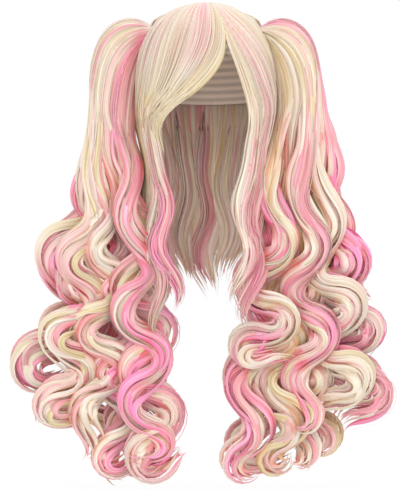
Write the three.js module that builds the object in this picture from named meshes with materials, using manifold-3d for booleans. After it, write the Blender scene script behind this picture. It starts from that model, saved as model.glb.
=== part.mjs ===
// A long curly wig: a hollow crown, a side-swept fringe, wavy side and back hair, and two curly
// ponytails held on by clips. Left and right are the wearer's. Millimetres and degrees, +Z up.
// The face looks along -Y, and the origin is the inside top of the crown, where it sits on the head.
import * as THREE from "three";
import { mergeVertices } from "three/addons/utils/BufferGeometryUtils.js";
import Module from "manifold-3d";

const wasm = await Module();
wasm.setup();

// Driving dimensions
const GAP = 0.3; // between neighbouring pieces
const SLIVER = 0.05; // smaller details than this are smoothed away
const SAME_POINT = 0.001; // vertices closer than this are one

// A lock of hair is flat and tapers to its tip. Shares are of its length or of its full section.
const LOCK = {
  sides: 4, // a ridge down its front, its back and both edges
  rootSection: 0.55,
  fullFrom: 0.3,
  taperFrom: 0.62,
  taperTo: 1.06, // past the end, so that the tip is blunt
};

// Locks on the crown
const CROWN_LOCKS = {
  station: 36, // spacing of the sections
  lift: 0.45, // how far the middle of a lock lies off the dome, as a share of its thickness
  rounding: 0.5, // how far joined locks may be smoothed
};

const CROWN = {
  top: 10, // hair above the head's top
  halfWidth: 93,
  halfDepth: 114,
  widestDrop: 115, // depth below the head's top where the dome is widest
  rimDrop: 128,
  roundness: 2.45, // superellipse power: 2 is an ellipse, more is squarer
  hollow: 0.85, // inner size as a share of the outer one
  rings: 6,
  sides: 22,
};

const FACE = { halfWidth: 68, arch: 46, hairlineDrop: 62, backY: -24 };

// Where hair that hangs below the rim draws in round the neck, as shares of the dome's size.
const HANG = { jawDrop: 130, neckDrop: 235, neckShare: 0.8, shoulderDrop: 430, shoulderShare: 0.86 };

const STEPS_PER_STATION = 10; // short steps walked between two sections of a ponytail

const CLIP = { width: 26, height: 16, thick: 6, corner: 4, drop: 27, azimuth: 97 };

const PONYTAIL = {
  // The trunk: hair gathered at the clip, which arches outwards and hangs.
  clipOut: 82,
  clipDrop: 29,
  clipBack: 10,
  launch: 95, // its heading at the clip, from straight down
  lean: 3, // its heading once it hangs
  launchLength: 42, // length over which it turns from the one to the other
  length: 285,
  sides: 12,
  trunkStation: 22,
  flute: 0.06, // depth of the hollows between its strands, as a share of its size
  width: 77,
  thick: 80,
  // The locks that come out of it.
  rootDrop: 112,
  waveFull: 390, // length at which the waves are fully grown
  waveDepth: 14, // how far the waves swing to the front and back
  comeForward: 170, // length over which a lock moves to its own depth
  curlLength: 110, // the last stretch, which takes the end curl
  lockStation: 25,
  rounding: 1.1, // how far the joined trunk and locks may be smoothed
};

const COLOURS = { blond: "#ead9c2", pink: "#eebdc2", rose: "#e2b3a6", clip: "#d9c9b4" };
const ROUGHNESS = 0.45;

// Hair that grows on the crown. A lock starts at its root, sweeps round the dome to its rest
// azimuth by the settle drop, and then drifts to its hem azimuth with waves. Azimuth 0 is the front,
// positive to the wearer's left. A sweep over 1 keeps near the root azimuth first.
const CROWN_HAIR = [
  "rootAz", "rootDrop", "restAz", "settleDrop", "sweep", "hemAz", "hemDrop",
  "wave", "pitch", "phase", "width", "thick",
];

const FRINGE = table(CROWN_HAIR, [
  [16, 42, -57, 170, 2.0, -57, 184, 0, 130, 0, 27, 10],
  [14, 26, -60, 165, 1.6, -60, 182, 0, 130, 0, 38, 12],
  [10, 14, -66, 152, 1.2, -64, 180, 0, 130, 0, 44, 13],
  [-2, 6, -74, 132, 0.9, -72, 176, 0, 130, 0, 46, 13],
  [-34, 2, -85, 112, 0.8, -83, 172, 0, 130, 0, 46, 13],
]);

const SIDE_HAIR_RIGHT = table(CROWN_HAIR, [
  [-52, 100, -59, 160, 1.0, -36, 440, 12, 130, 40, 34, 16],
  [-66, 84, -70, 150, 1.0, -52, 480, 13, 136, 130, 38, 16],
  [-86, 70, -85, 150, 1.0, -72, 430, 10, 132, 230, 40, 15],
]);

const SIDE_HAIR_LEFT = table(CROWN_HAIR, [
  [18, 40, 49, 165, 0.9, 35, 430, 11, 140, 250, 33, 12],
  [18, 22, 62, 145, 0.8, 48, 470, 12, 138, 200, 42, 14],
  [20, 8, 76, 125, 0.8, 60, 440, 12, 134, 100, 46, 13],
  [44, 2, 90, 112, 0.8, 80, 400, 9, 130, 20, 46, 12],
]);

// The back hair repeats one lock round the nape, each a little out of step with the last.
const BACK_HAIR = {
  count: 7, firstAz: 106, lastAz: 254, rootDrop: 4, hemDrop: 405, hemStep: 26,
  wave: 10, pitch: 138, phaseStep: 75, width: 60, thick: 20,
};

// Ponytail locks. Each starts in the trunk at its lane, the distance out from the middle of the head.
// A heading is measured from straight down, positive outwards: the lean is a lock's mean heading,
// the swing is how far its waves turn it, and the curl is the last turn at its tip. Front is its own
// depth in front of the ears.
const PONYTAIL_HAIR = [
  "lane", "lean", "swing", "pitch", "phase", "length", "curl", "front", "width", "thick",
];

const PONYTAIL_RIGHT = table(PONYTAIL_HAIR, [
  [150, 9, 70, 165, 202, 410, -40, 14, 40, 26],
  [154, 10, 55, 170, 290, 340, 10, -8, 40, 26],
  [150, 5, 70, 165, 250, 450, 70, 22, 34, 24],
  [122, 12.2, 78, 262, 158, 650, -60, 4, 52, 30],
  [146, 8.5, 70, 155, 289, 680, -50, 42, 42, 24],
  [140, 2, 64, 160, 11, 625, 60, 32, 44, 28],
  [124, 2, 58, 165, 241, 720, -60, 8, 46, 30],
  [114, -4, 58, 170, 159, 705, 60, 40, 40, 24],
  [118, -5, 64, 170, 245, 752, -130, 22, 46, 28],
  // the layer behind
  [148, 8, 60, 170, 60, 615, 20, -24, 50, 30],
  [136, 3, 58, 165, 150, 660, -60, -46, 48, 30],
  [122, -1, 58, 165, 20, 670, 60, -34, 48, 30],
]);

const PONYTAIL_LEFT = table(PONYTAIL_HAIR, [
  [163, 5, 70, 165, 328, 390, -40, 14, 42, 26],
  [150, 9.5, 75, 170, 82, 405, 20, 0, 40, 24],
  [150, 7.5, 84, 175, 318, 730, -20, 4, 48, 28],
  [146, 6, 72, 165, 111, 655, -40, 34, 44, 26],
  [140, 1, 60, 165, 38, 610, -80, 42, 42, 24],
  [130, 2, 60, 165, 220, 690, -100, 8, 48, 30],
  [122, -2, 60, 165, 20, 690, -60, 22, 46, 28],
  [116, -5.5, 80, 170, 42, 600, 60, 42, 42, 24],
  [118, -7.5, 48, 165, 68, 640, 40, 16, 44, 28],
  // the layer behind
  [140, 12, 60, 170, 200, 610, -40, -24, 50, 30],
  [136, 3, 58, 165, 300, 610, 20, -46, 48, 30],
  [122, -5.5, 58, 165, 105, 690, 30, -34, 52, 30],
]);

// Rows of numbers as objects with named columns.
function table(columns, rows) {
  return rows.map((row) => Object.fromEntries(columns.map((name, i) => [name, row[i]])));
}

const { clamp, degToRad, lerp, smoothstep } = THREE.MathUtils;

// Solids

function solidOf(geometry) {
  const bare = geometry.clone();
  bare.deleteAttribute("normal");
  bare.deleteAttribute("uv");
  const merged = mergeVertices(bare, SAME_POINT);
  return new wasm.Manifold(
    new wasm.Mesh({
      numProp: 3,
      vertProperties: merged.attributes.position.array,
      triVerts: new Uint32Array(merged.index.array),
    }),
  );
}

function geometryOf(solid) {
  const mesh = solid.getMesh();
  return new THREE.BufferGeometry()
    .setAttribute("position", new THREE.BufferAttribute(mesh.vertProperties, 3))
    .setIndex(new THREE.BufferAttribute(mesh.triVerts, 1));
}

const fused = (solids) => solids.reduce((whole, solid) => whole.add(solid));
const cutBy = (solid, ...cutters) => cutters.reduce((rest, cutter) => rest.subtract(cutter), solid);

// Cutting can leave crumbs and slivers, and only the main body is the piece.
function mainBody(solid) {
  const clean = solid.asOriginal().simplify(SLIVER);
  return clean.decompose().reduce((most, body) => (body.volume() > most.volume() ? body : most));
}

function meshOf(name, solid, color) {
  const material = new THREE.MeshStandardMaterial({ color, roughness: ROUGHNESS, metalness: 0 });
  const mesh = new THREE.Mesh(geometryOf(mainBody(solid)), material);
  mesh.name = name;
  return mesh;
}

// The crown

function domeShare(drop) {
  const climb = clamp((CROWN.widestDrop - drop) / (CROWN.widestDrop + CROWN.top), 0, 1);
  return (1 - climb ** CROWN.roundness) ** (1 / CROWN.roundness);
}

// One side of the dome's wall, from its pole down to the rim, as radius and height.
function domeProfile(share, top) {
  const points = [];
  for (let ring = 0; ring <= CROWN.rings; ring++) {
    const angle = (Math.PI / 2) * (1 - ring / CROWN.rings);
    const height = (CROWN.widestDrop + top) * Math.sin(angle) ** (2 / CROWN.roundness);
    const radius = ring === 0 ? 0 : share * CROWN.halfWidth * Math.cos(angle) ** (2 / CROWN.roundness);
    points.push(new THREE.Vector2(radius, height - CROWN.widestDrop));
  }
  points.push(new THREE.Vector2(share * CROWN.halfWidth, -CROWN.rimDrop));
  return points;
}

function turnedDome(profile) {
  return new THREE.LatheGeometry(profile.reverse(), CROWN.sides)
    .rotateX(Math.PI / 2)
    .scale(1, CROWN.halfDepth / CROWN.halfWidth, 1);
}

// The solid dome that the crown and a head fill together, grown by a gap.
function crownSpace(gap) {
  const share = 1 + gap / CROWN.halfWidth;
  const profile = domeProfile(share, CROWN.top + gap);
  profile.push(new THREE.Vector2(0, -CROWN.rimDrop));
  return solidOf(turnedDome(profile));
}

function faceOpening() {
  const arch = new THREE.Shape()
    .moveTo(-FACE.halfWidth, -2 * CROWN.rimDrop)
    .lineTo(FACE.halfWidth, -2 * CROWN.rimDrop)
    .lineTo(FACE.halfWidth, -FACE.hairlineDrop - FACE.arch)
    .quadraticCurveTo(FACE.halfWidth, -FACE.hairlineDrop, 0, -FACE.hairlineDrop)
    .quadraticCurveTo(-FACE.halfWidth, -FACE.hairlineDrop, -FACE.halfWidth, -FACE.hairlineDrop - FACE.arch);
  const through = { depth: 2 * CROWN.halfDepth, bevelEnabled: false, curveSegments: 6 };
  return solidOf(new THREE.ExtrudeGeometry(arch, through).rotateX(Math.PI / 2).translate(0, FACE.backY, 0));
}

function crownSolid() {
  const wall = [...domeProfile(1, CROWN.top), ...domeProfile(CROWN.hollow, 0).reverse()];
  return cutBy(solidOf(turnedDome(wall)), faceOpening());
}

// Locks

// How full a lock's section is from its root, 0, to its tip, 1.
function fullness(along) {
  const root = lerp(LOCK.rootSection, 1, smoothstep(along, 0, LOCK.fullFrom));
  return root * Math.sqrt(1 - smoothstep(along, LOCK.taperFrom, LOCK.taperTo) ** 2);
}

// A closed lock: a sphere's grid drawn out along stations that each hold a point and the direction
// that the flat side faces. A grown lock cuts its neighbours a gap away. Flutes are hollows that run
// along every second edge of the section.
function lockSolid(stations, { width, thick }, { grow = 0, sides = LOCK.sides, flute = 0 } = {}) {
  const last = stations.length - 1;
  const geometry = new THREE.SphereGeometry(1, sides, last);
  const { position, uv } = geometry.attributes;
  const place = new THREE.Vector3();
  for (let i = 0; i < position.count; i++) {
    const index = Math.round((1 - uv.getY(i)) * last);
    const { point, facing } = stations[index];
    place.copy(point);
    const before = stations[Math.max(0, index - 1)].point;
    const after = stations[Math.min(last, index + 1)].point;
    const along = new THREE.Vector3().subVectors(after, before).normalize();
    if (index === 0) {
      place.addScaledVector(along, -grow);
    } else if (index === last) {
      place.addScaledVector(along, grow);
    } else {
      const angle = 2 * Math.PI * uv.getX(i);
      const across = new THREE.Vector3().crossVectors(along, facing).normalize();
      const outward = new THREE.Vector3().crossVectors(across, along);
      const hollow = Math.round(uv.getX(i) * sides) % 2 ? flute : 0;
      const full = fullness(index / last) * (1 - hollow);
      place.addScaledVector(across, Math.cos(angle) * ((width / 2) * full + grow));
      place.addScaledVector(outward, Math.sin(angle) * ((thick / 2) * full + grow));
    }
    position.setXYZ(i, place.x, place.y, place.z);
  }
  return solidOf(geometry);
}

// Hair on the crown

function hangShare(drop) {
  const toNeck = smoothstep(drop, HANG.jawDrop, HANG.neckDrop);
  const toShoulder = smoothstep(drop, HANG.neckDrop, HANG.shoulderDrop);
  return lerp(lerp(1, HANG.neckShare, toNeck), HANG.shoulderShare, toShoulder);
}

function crownHairStations(row) {
  const count = Math.max(6, Math.round((row.hemDrop - row.rootDrop) / CROWN_LOCKS.station));
  const stations = [];
  for (let i = 0; i <= count; i++) {
    const drop = lerp(row.rootDrop, row.hemDrop, i / count);
    const swept = clamp((drop - row.rootDrop) / (row.settleDrop - row.rootDrop), 0, 1) ** row.sweep;
    const drift = smoothstep(drop, row.settleDrop, row.hemDrop);
    const azimuth = degToRad(lerp(lerp(row.rootAz, row.restAz, swept), row.hemAz, drift));
    const grown = smoothstep(drop, HANG.jawDrop, HANG.neckDrop + row.pitch);
    const turns = (drop - HANG.jawDrop) / row.pitch;
    const sideways = row.wave * grown * Math.sin(2 * Math.PI * turns + degToRad(row.phase));
    const share = domeShare(drop) * hangShare(drop);
    const lift = CROWN_LOCKS.lift * row.thick * fullness(i / count);
    const facing = new THREE.Vector3(Math.sin(azimuth), -Math.cos(azimuth), 0);
    const point = new THREE.Vector3(
      (CROWN.halfWidth * share + lift) * facing.x + sideways * -facing.y,
      (CROWN.halfDepth * share + lift) * facing.y + sideways * facing.x,
      -drop,
    );
    stations.push({ point, facing: facing.setZ(1 - domeShare(drop)).normalize() });
  }
  return stations;
}

const crownLocks = (rows, grow) => fused(rows.map((row) => lockSolid(crownHairStations(row), row, { grow })));
const crownHair = (rows) => crownLocks(rows, 0).asOriginal().simplify(CROWN_LOCKS.rounding);
const roomFor = (rows) => crownLocks(rows, CROWN_LOCKS.rounding + GAP);

function backHairRows() {
  const b = BACK_HAIR;
  return Array.from({ length: b.count }, (_, i) => {
    const azimuth = lerp(b.firstAz, b.lastAz, i / (b.count - 1));
    return {
      rootAz: azimuth, rootDrop: b.rootDrop, restAz: azimuth, settleDrop: HANG.jawDrop, sweep: 1,
      hemAz: azimuth, hemDrop: b.hemDrop + b.hemStep * (i % 2),
      wave: b.wave, pitch: b.pitch, phase: b.phaseStep * i, width: b.width, thick: b.thick,
    };
  });
}

// Ponytails and their clips. side is 1 for the left and -1 for the right.

// Stations down a hanging path, which is walked in short steps from a point on one heading after another.
function walk(side, start, length, spacing, headingAt, backAt) {
  const count = Math.round(length / spacing);
  const step = length / (count * STEPS_PER_STATION);
  const stations = [];
  let { out, drop } = start;
  for (let i = 0; i <= count * STEPS_PER_STATION; i++) {
    if (i % STEPS_PER_STATION === 0) {
      const point = new THREE.Vector3(side * out, backAt(i * step), -drop);
      stations.push({ point, facing: new THREE.Vector3(0, -1, 0) });
    }
    const heading = degToRad(headingAt(i * step));
    out += Math.sin(heading) * step;
    drop += Math.cos(heading) * step;
  }
  return stations;
}

function trunkStations(side) {
  const p = PONYTAIL;
  const heading = (length) => lerp(p.lean, p.launch, Math.exp(-((length / p.launchLength) ** 2)));
  const back = (length) => lerp(p.clipBack, 0, length / p.length);
  return walk(side, { out: p.clipOut, drop: p.clipDrop }, p.length, p.trunkStation, heading, back);
}

function lockStations(row, side) {
  const p = PONYTAIL;
  const turn = (length) => (2 * Math.PI * length) / row.pitch + degToRad(row.phase);
  const grown = (length) => smoothstep(length, 0, p.waveFull);
  const curl = (length) => row.curl * Math.max(0, (length - row.length + p.curlLength) / p.curlLength);
  const heading = (length) => row.lean + row.swing * grown(length) * Math.sin(turn(length)) + curl(length);
  const back = (length) =>
    -row.front * smoothstep(length, 0, p.comeForward) + p.waveDepth * grown(length) * Math.cos(turn(length));
  return walk(side, { out: row.lane, drop: p.rootDrop }, row.length, p.lockStation, heading, back);
}

function ponytailSolid(rows, side) {
  const trunk = lockSolid(trunkStations(side), PONYTAIL, { sides: PONYTAIL.sides, flute: PONYTAIL.flute });
  const locks = rows.map((row) => lockSolid(lockStations(row, side), row));
  return fused([trunk, ...locks]).asOriginal().simplify(PONYTAIL.rounding);
}

// A plain rounded plate lying on the crown's side, with its back against the dome.
function clipSolid(side, grow = 0) {
  const w = CLIP.width / 2 + grow;
  const h = CLIP.height / 2 + grow;
  const c = CLIP.corner;
  const outline = new THREE.Shape()
    .moveTo(-w + c, -h)
    .lineTo(w - c, -h)
    .absarc(w - c, -h + c, c, -Math.PI / 2, 0)
    .lineTo(w, h - c)
    .absarc(w - c, h - c, c, 0, Math.PI / 2)
    .lineTo(-w + c, h)
    .absarc(-w + c, h - c, c, Math.PI / 2, Math.PI)
    .lineTo(-w, -h + c)
    .absarc(-w + c, -h + c, c, Math.PI, 1.5 * Math.PI);
  const plate = new THREE.ExtrudeGeometry(outline, {
    depth: CLIP.thick + 2 * grow, bevelEnabled: false, curveSegments: 3,
  }).translate(0, 0, GAP - grow);
  const seat = crownSurface(side * CLIP.azimuth, CLIP.drop);
  const turn = new THREE.Quaternion().setFromUnitVectors(new THREE.Vector3(0, 0, 1), seat.normal);
  return solidOf(plate.applyQuaternion(turn).translate(...seat.point));
}

// A point on the crown's outside and the direction straight out of it.
function crownSurface(azimuthDeg, drop) {
  const azimuth = degToRad(azimuthDeg);
  const at = (angle, depth) =>
    new THREE.Vector3(
      CROWN.halfWidth * domeShare(depth) * Math.sin(angle),
      -CROWN.halfDepth * domeShare(depth) * Math.cos(angle),
      -depth,
    );
  const point = at(azimuth, drop);
  const round = at(azimuth + 0.01, drop).sub(point);
  const down = at(azimuth, drop + 0.5).sub(point);
  return { point, normal: down.cross(round).normalize() };
}

// Assembly

const space = crownSpace(GAP);
const fringe = cutBy(crownHair(FRINGE), space);
const fringeRoom = roomFor(FRINGE);
const sideRight = cutBy(crownHair(SIDE_HAIR_RIGHT), space, fringeRoom);
const sideLeft = cutBy(crownHair(SIDE_HAIR_LEFT), space, fringeRoom);
const sideRoom = [roomFor(SIDE_HAIR_RIGHT), roomFor(SIDE_HAIR_LEFT)];
const backHair = cutBy(crownHair(backHairRows()), space, ...sideRoom);
const looseHairRoom = [fringeRoom, ...sideRoom, roomFor(backHairRows())];

const wig = new THREE.Group();
wig.add(
  meshOf("crown", crownSolid(), COLOURS.blond),
  meshOf("fringe", fringe, COLOURS.blond),
  meshOf("side_lock_right", sideRight, COLOURS.pink),
  meshOf("side_lock_left", sideLeft, COLOURS.pink),
  meshOf("back_hair", backHair, COLOURS.rose),
);
for (const [name, side, rows] of [["right", -1, PONYTAIL_RIGHT], ["left", 1, PONYTAIL_LEFT]]) {
  const clip = cutBy(clipSolid(side), ...looseHairRoom);
  const ponytail = cutBy(ponytailSolid(rows, side), space, clipSolid(side, GAP), ...looseHairRoom);
  wig.add(
    meshOf(`clip_${name}`, clip, COLOURS.clip),
    meshOf(`ponytail_${name}`, ponytail, COLOURS.pink),
  );
}

export default wig;
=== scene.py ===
"""A long curly wig with two clip-on ponytails, as a Blender add-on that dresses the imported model."""

import functools
import math

import bmesh
import bpy
import numpy as np
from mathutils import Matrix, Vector


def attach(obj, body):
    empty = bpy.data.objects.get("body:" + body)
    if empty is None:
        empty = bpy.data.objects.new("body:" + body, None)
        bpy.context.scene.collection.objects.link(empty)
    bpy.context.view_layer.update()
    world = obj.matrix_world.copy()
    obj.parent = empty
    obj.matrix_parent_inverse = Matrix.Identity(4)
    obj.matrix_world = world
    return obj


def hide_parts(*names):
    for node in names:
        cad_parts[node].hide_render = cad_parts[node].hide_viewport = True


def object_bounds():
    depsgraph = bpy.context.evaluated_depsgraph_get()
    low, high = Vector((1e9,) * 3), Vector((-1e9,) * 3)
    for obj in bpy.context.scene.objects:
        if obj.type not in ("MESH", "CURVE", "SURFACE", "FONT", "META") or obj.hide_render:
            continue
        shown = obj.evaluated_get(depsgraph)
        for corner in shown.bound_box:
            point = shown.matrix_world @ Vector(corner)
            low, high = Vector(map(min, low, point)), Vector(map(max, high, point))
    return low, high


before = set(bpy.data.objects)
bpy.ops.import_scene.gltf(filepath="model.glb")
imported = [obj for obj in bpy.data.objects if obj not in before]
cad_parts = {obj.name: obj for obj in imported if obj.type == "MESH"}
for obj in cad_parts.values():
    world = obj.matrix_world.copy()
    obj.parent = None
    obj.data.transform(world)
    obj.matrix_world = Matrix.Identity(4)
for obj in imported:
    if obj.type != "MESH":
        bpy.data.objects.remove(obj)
CAD_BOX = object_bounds()

bl_info = {
    "name": "Long curly wig",
    "version": (1, 0, 0),
    "blender": (4, 5, 0),
    "location": "3D View > Sidebar > Wig",
    "description": "Makes the hair of a long curly wig strand by strand, with its cap, clips and stage",
    "category": "Object",
}

BODY = "root"
MM = 0.001  # sizes and tables of hair are in millimetres, meshes in metres
RIGHT, LEFT = -1, 1  # the wearer's sides, along X
FORWARD = np.array([0.0, -1.0, 0.0])  # the way the face looks


# Sizes of the wig

CROWN_TOP = 10.0  # above the inside top of the crown
CROWN_HALF_WIDTH = 93.0
CROWN_HALF_DEPTH = 114.0
CROWN_WIDEST_DROP = 115.0
CROWN_RIM_DROP = 128.0
CROWN_ROUNDNESS = 2.45
CROWN_HOLLOW = 0.85

FACE_HALF_WIDTH = 68.0
FACE_ARCH = 46.0
HAIRLINE_DROP = 62.0
FACE_BACK = -24.0

JAW_DROP = 130.0
NECK_DROP = 235.0
NECK_SHARE = 0.8
SHOULDER_DROP = 430.0
SHOULDER_SHARE = 0.86
GATHER_FROM = 115.0  # crown hair gathers into locks between these drops
GATHER_TO = 200.0
TOP_LIFT = 0.04  # how much of its lift hair has at the very top, and the drop where it has all of it
TOP_LIFTED_DROP = 40.0
TOP_START = 0.9995  # how far up towards the very top hair starts that covers the crown

ROOT_SECTION = 0.55
FULL_FROM = 0.3
TAPER_FROM = 0.62
TAPER_TO = 1.02
LOCK_LIFT = 0.45

CLIP_OUT = 82.0
CLIP_DROP = 29.0
CLIP_BACK = 10.0
CLIP_AZ = 98.0  # where crown hair lies over the clips, and how far it rises there
CLIP_TOP_DROP = 15.0
CLIP_RISE = 8.0
CLIP_SPREAD_AZ = 10.0  # how far round the head, and how far down, this rise reaches
CLIP_SPREAD_DROP = 9.0
LAUNCH_INNER = 20.0
LAUNCH_OUTER = 122.0
LAUNCH_LENGTH = 64.0
TRUNK_LEAN = 3.0
TRUNK_LENGTH = 285.0
TRUNK_WIDTH = 77.0
TRUNK_THICK = 80.0
CURL_ROOT_DROP = 112.0
CURL_ROOT_LENGTH = 105.0  # along the trunk
WAVE_FULL = 390.0
WAVE_DEPTH = 14.0
COME_FORWARD = 170.0
STAY_BACK = 45.0  # half the length over which strands behind the trunk leave it
END_CURL_LENGTH = 110.0
CURL_UP = 1.6  # how much further strands curl at their ends than the solids
NESTLE = 21.0  # how far the innermost strands lie closer to the head below the clip
NESTLE_LANES = (114.0, 135.0)  # the lanes that do so fully, and not at all
NESTLE_AT = 45.0  # along the curls, and over this length
NESTLE_LENGTH = 70.0
CURL_TAPER = (0.72, 0.985)  # where strands' curls begin to taper, and where they end
ROOT_TUCK = 14.0  # how far the ponytails' strands start inside the crown's hair
ROOT_RISE = 7.0
ROOT_SPREAD = 0.35


def table(columns, rows):
    """A table of hair as one array for each named column."""
    return dict(zip(columns.split(), np.array(rows, float).T))


# Hair on the crown, a row for each lock. Azimuths run from the front to the wearer's left. Pink is 0
# for blond, and 1 for the strongest pink.
CROWN_COLUMNS = (
    "root_az root_drop rest_az settle_drop sweep hem_az hem_drop wave pitch phase width thick pink"
)
FRINGE = table(CROWN_COLUMNS, [
    [16, 42, -54, 172, 2.2, -50, 205, 0, 130, 0, 27, 10, 0.08],
    [14, 24, -57, 173, 2.3, -52, 222, 0, 130, 0, 34, 12, 0.22],
    [0, 14, -60, 174, 2.3, -56, 238, 0, 130, 0, 40, 13, 0.42],
    [-22, 8, -63, 174, 2.6, -60, 252, 0, 130, 0, 40, 13, 0.26],
    [-43, 4, -70, 172, 3.0, -68, 262, 0, 130, 0, 40, 13, 0.20],
    [-68, 2, -86, 150, 1.6, -82, 250, 0, 130, 0, 44, 13, 0.24],
])
SIDE_HAIR_RIGHT = table(CROWN_COLUMNS, [
    [-52, 100, -59, 160, 1.0, -36, 440, 16, 130, 40, 34, 16, 0.58],
    [-66, 84, -70, 150, 1.0, -52, 480, 17, 136, 130, 38, 16, 0.14],
    [-86, 70, -88, 150, 1.0, -76, 430, 10, 132, 230, 42, 15, 0.08],
])
SIDE_HAIR_LEFT = table(CROWN_COLUMNS, [
    [18, 40, 49, 165, 0.9, 35, 430, 16, 140, 250, 33, 12, 0.30],
    [18, 22, 62, 145, 0.8, 48, 470, 17, 138, 200, 42, 14, 0.50],
    [20, 8, 76, 125, 0.8, 60, 440, 15, 134, 100, 46, 13, 0.40],
    [44, 2, 90, 112, 0.8, 80, 400, 9, 130, 20, 46, 12, 0.20],
])

BACK_LOCKS = 7
BACK_FIRST_AZ = 106.0
BACK_LAST_AZ = 254.0
BACK_HEM_DROP = 405.0
BACK_HEM_STEP = 26.0
BACK_PHASE_STEP = 75.0
BACK_PINK = (0.2, 0.4, 0.2, 0.45, 0.25, 0.42, 0.2)
BACK_HAIR = table(CROWN_COLUMNS, [
    [az, 4, az, JAW_DROP, 1, az, BACK_HEM_DROP + BACK_HEM_STEP * (i % 2), 10, 138,
     BACK_PHASE_STEP * i, 60, 20, BACK_PINK[i]]
    for i, az in enumerate(np.linspace(BACK_FIRST_AZ, BACK_LAST_AZ, BACK_LOCKS))
])

# The ponytails' curls, a row for each lock. The last rows are the layer behind.
CURL_COLUMNS = "lane lean swing pitch phase length curl front width thick pink"
PONYTAIL_RIGHT = table(CURL_COLUMNS, [
    [146, 5.5, 70, 165, 202, 405, -40, 14, 40, 26, 0.55],
    [142, 6.5, 55, 170, 290, 330, 10, -8, 40, 26, 0.65],
    [150, 5, 70, 165, 250, 450, 70, 22, 34, 24, 0.52],
    [122, 12.2, 78, 262, 158, 650, -60, 4, 52, 30, 0.62],
    [146, 7, 70, 155, 289, 690, -70, 42, 42, 24, 0.33],
    [140, 2, 64, 160, 11, 665, 60, 32, 44, 28, 0.36],
    [124, 0.5, 58, 165, 241, 735, -90, 8, 46, 30, 0.55],
    [114, -4, 58, 170, 159, 705, 60, 40, 40, 24, 0.42],
    [118, -5, 64, 170, 245, 774, -120, 22, 46, 28, 0.62],
    [148, 7.5, 60, 170, 60, 618, 20, -24, 50, 30, 0.55],
    [136, 3, 58, 165, 150, 700, -110, -46, 48, 30, 0.35],
    [122, -2, 58, 165, 20, 710, 110, -34, 48, 30, 0.65],
])
PONYTAIL_LEFT = table(CURL_COLUMNS, [
    [163, 5, 70, 165, 328, 390, -40, 14, 42, 26, 0.85],
    [150, 8.5, 75, 170, 82, 405, 20, 0, 40, 24, 0.60],
    [150, 9.5, 84, 175, 318, 760, -20, 4, 48, 28, 0.58],
    [146, 6, 72, 165, 111, 655, -40, 34, 44, 26, 0.35],
    [140, 1, 60, 165, 38, 610, -80, 42, 42, 24, 0.48],
    [130, 2, 60, 165, 220, 690, -100, 8, 48, 30, 0.45],
    [122, -2, 60, 165, 20, 720, 110, 22, 46, 28, 0.30],
    [116, -5.5, 80, 170, 42, 600, 60, 42, 42, 24, 0.42],
    [118, -7.5, 48, 165, 68, 690, 110, 16, 44, 28, 0.60],
    [140, 9.2, 60, 170, 200, 600, -40, -24, 50, 30, 0.55],
    [136, 3, 58, 165, 300, 680, -60, -46, 48, 30, 0.40],
    [122, -5.5, 58, 165, 105, 735, 110, -34, 52, 30, 0.60],
])

# How pink the trunks are, from their innermost strands to their outermost.
TRUNK_BANDS_RIGHT = (0.55, 0.6, 0.62, 0.7, 0.8, 0.5, 0.3, 0.15, 0.12, 0.3, 0.55, 0.3, 0.25)
TRUNK_BANDS_LEFT = (0.2, 0.12, 0.08, 0.2, 0.3, 0.12, 0.15, 0.3, 0.25, 0.35, 0.5, 0.7, 0.75)


# Numbers

def smoothstep(x, low, high):
    t = np.clip((x - low) / (high - low), 0.0, 1.0)
    return t * t * (3.0 - 2.0 * t)


def lerp(a, b, t):
    return a + (b - a) * t


def unit(vectors):
    return vectors / np.maximum(np.linalg.norm(vectors, axis=-1, keepdims=True), 1e-9)


def columns_at(rows, places):
    """A table's values at row numbers that may lie between rows, or a little past the last."""
    below = np.clip(np.floor(places).astype(int), 0, len(rows["width"]) - 2)
    part = places - below
    return {
        name: lerp(column[below], column[below + 1], part)[:, None] for name, column in rows.items()
    }


def linear(red, green, blue):
    """A colour as seen on a screen, 0 to 255, as the light it gives back."""
    shares = np.array([red, green, blue]) / 255.0
    light = np.where(shares > 0.04045, ((shares + 0.055) / 1.055) ** 2.4, shares / 12.92)
    return tuple(float(share) for share in light)


def fullness(along, taper_from=TAPER_FROM, taper_to=TAPER_TO):
    """How full a lock's section is from its root, 0, to its tip, 1."""
    root = lerp(ROOT_SECTION, 1.0, smoothstep(along, 0.0, FULL_FROM))
    return root * np.sqrt(1.0 - smoothstep(along, taper_from, taper_to) ** 2)


def dome_share(drop):
    """How wide the crown's dome is at a drop, as a share of its widest."""
    climb = np.clip((CROWN_WIDEST_DROP - drop) / (CROWN_WIDEST_DROP + CROWN_TOP), 0.0, 1.0)
    return (1.0 - climb**CROWN_ROUNDNESS) ** (1.0 / CROWN_ROUNDNESS)


def hang_share(drop):
    """How far out hanging hair lies, as a share of the dome: in at the neck, and out to the shoulders."""
    to_neck = smoothstep(drop, JAW_DROP, NECK_DROP)
    to_shoulder = smoothstep(drop, NECK_DROP, SHOULDER_DROP)
    return lerp(lerp(1.0, NECK_SHARE, to_neck), SHOULDER_SHARE, to_shoulder)


# Properties

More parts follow.
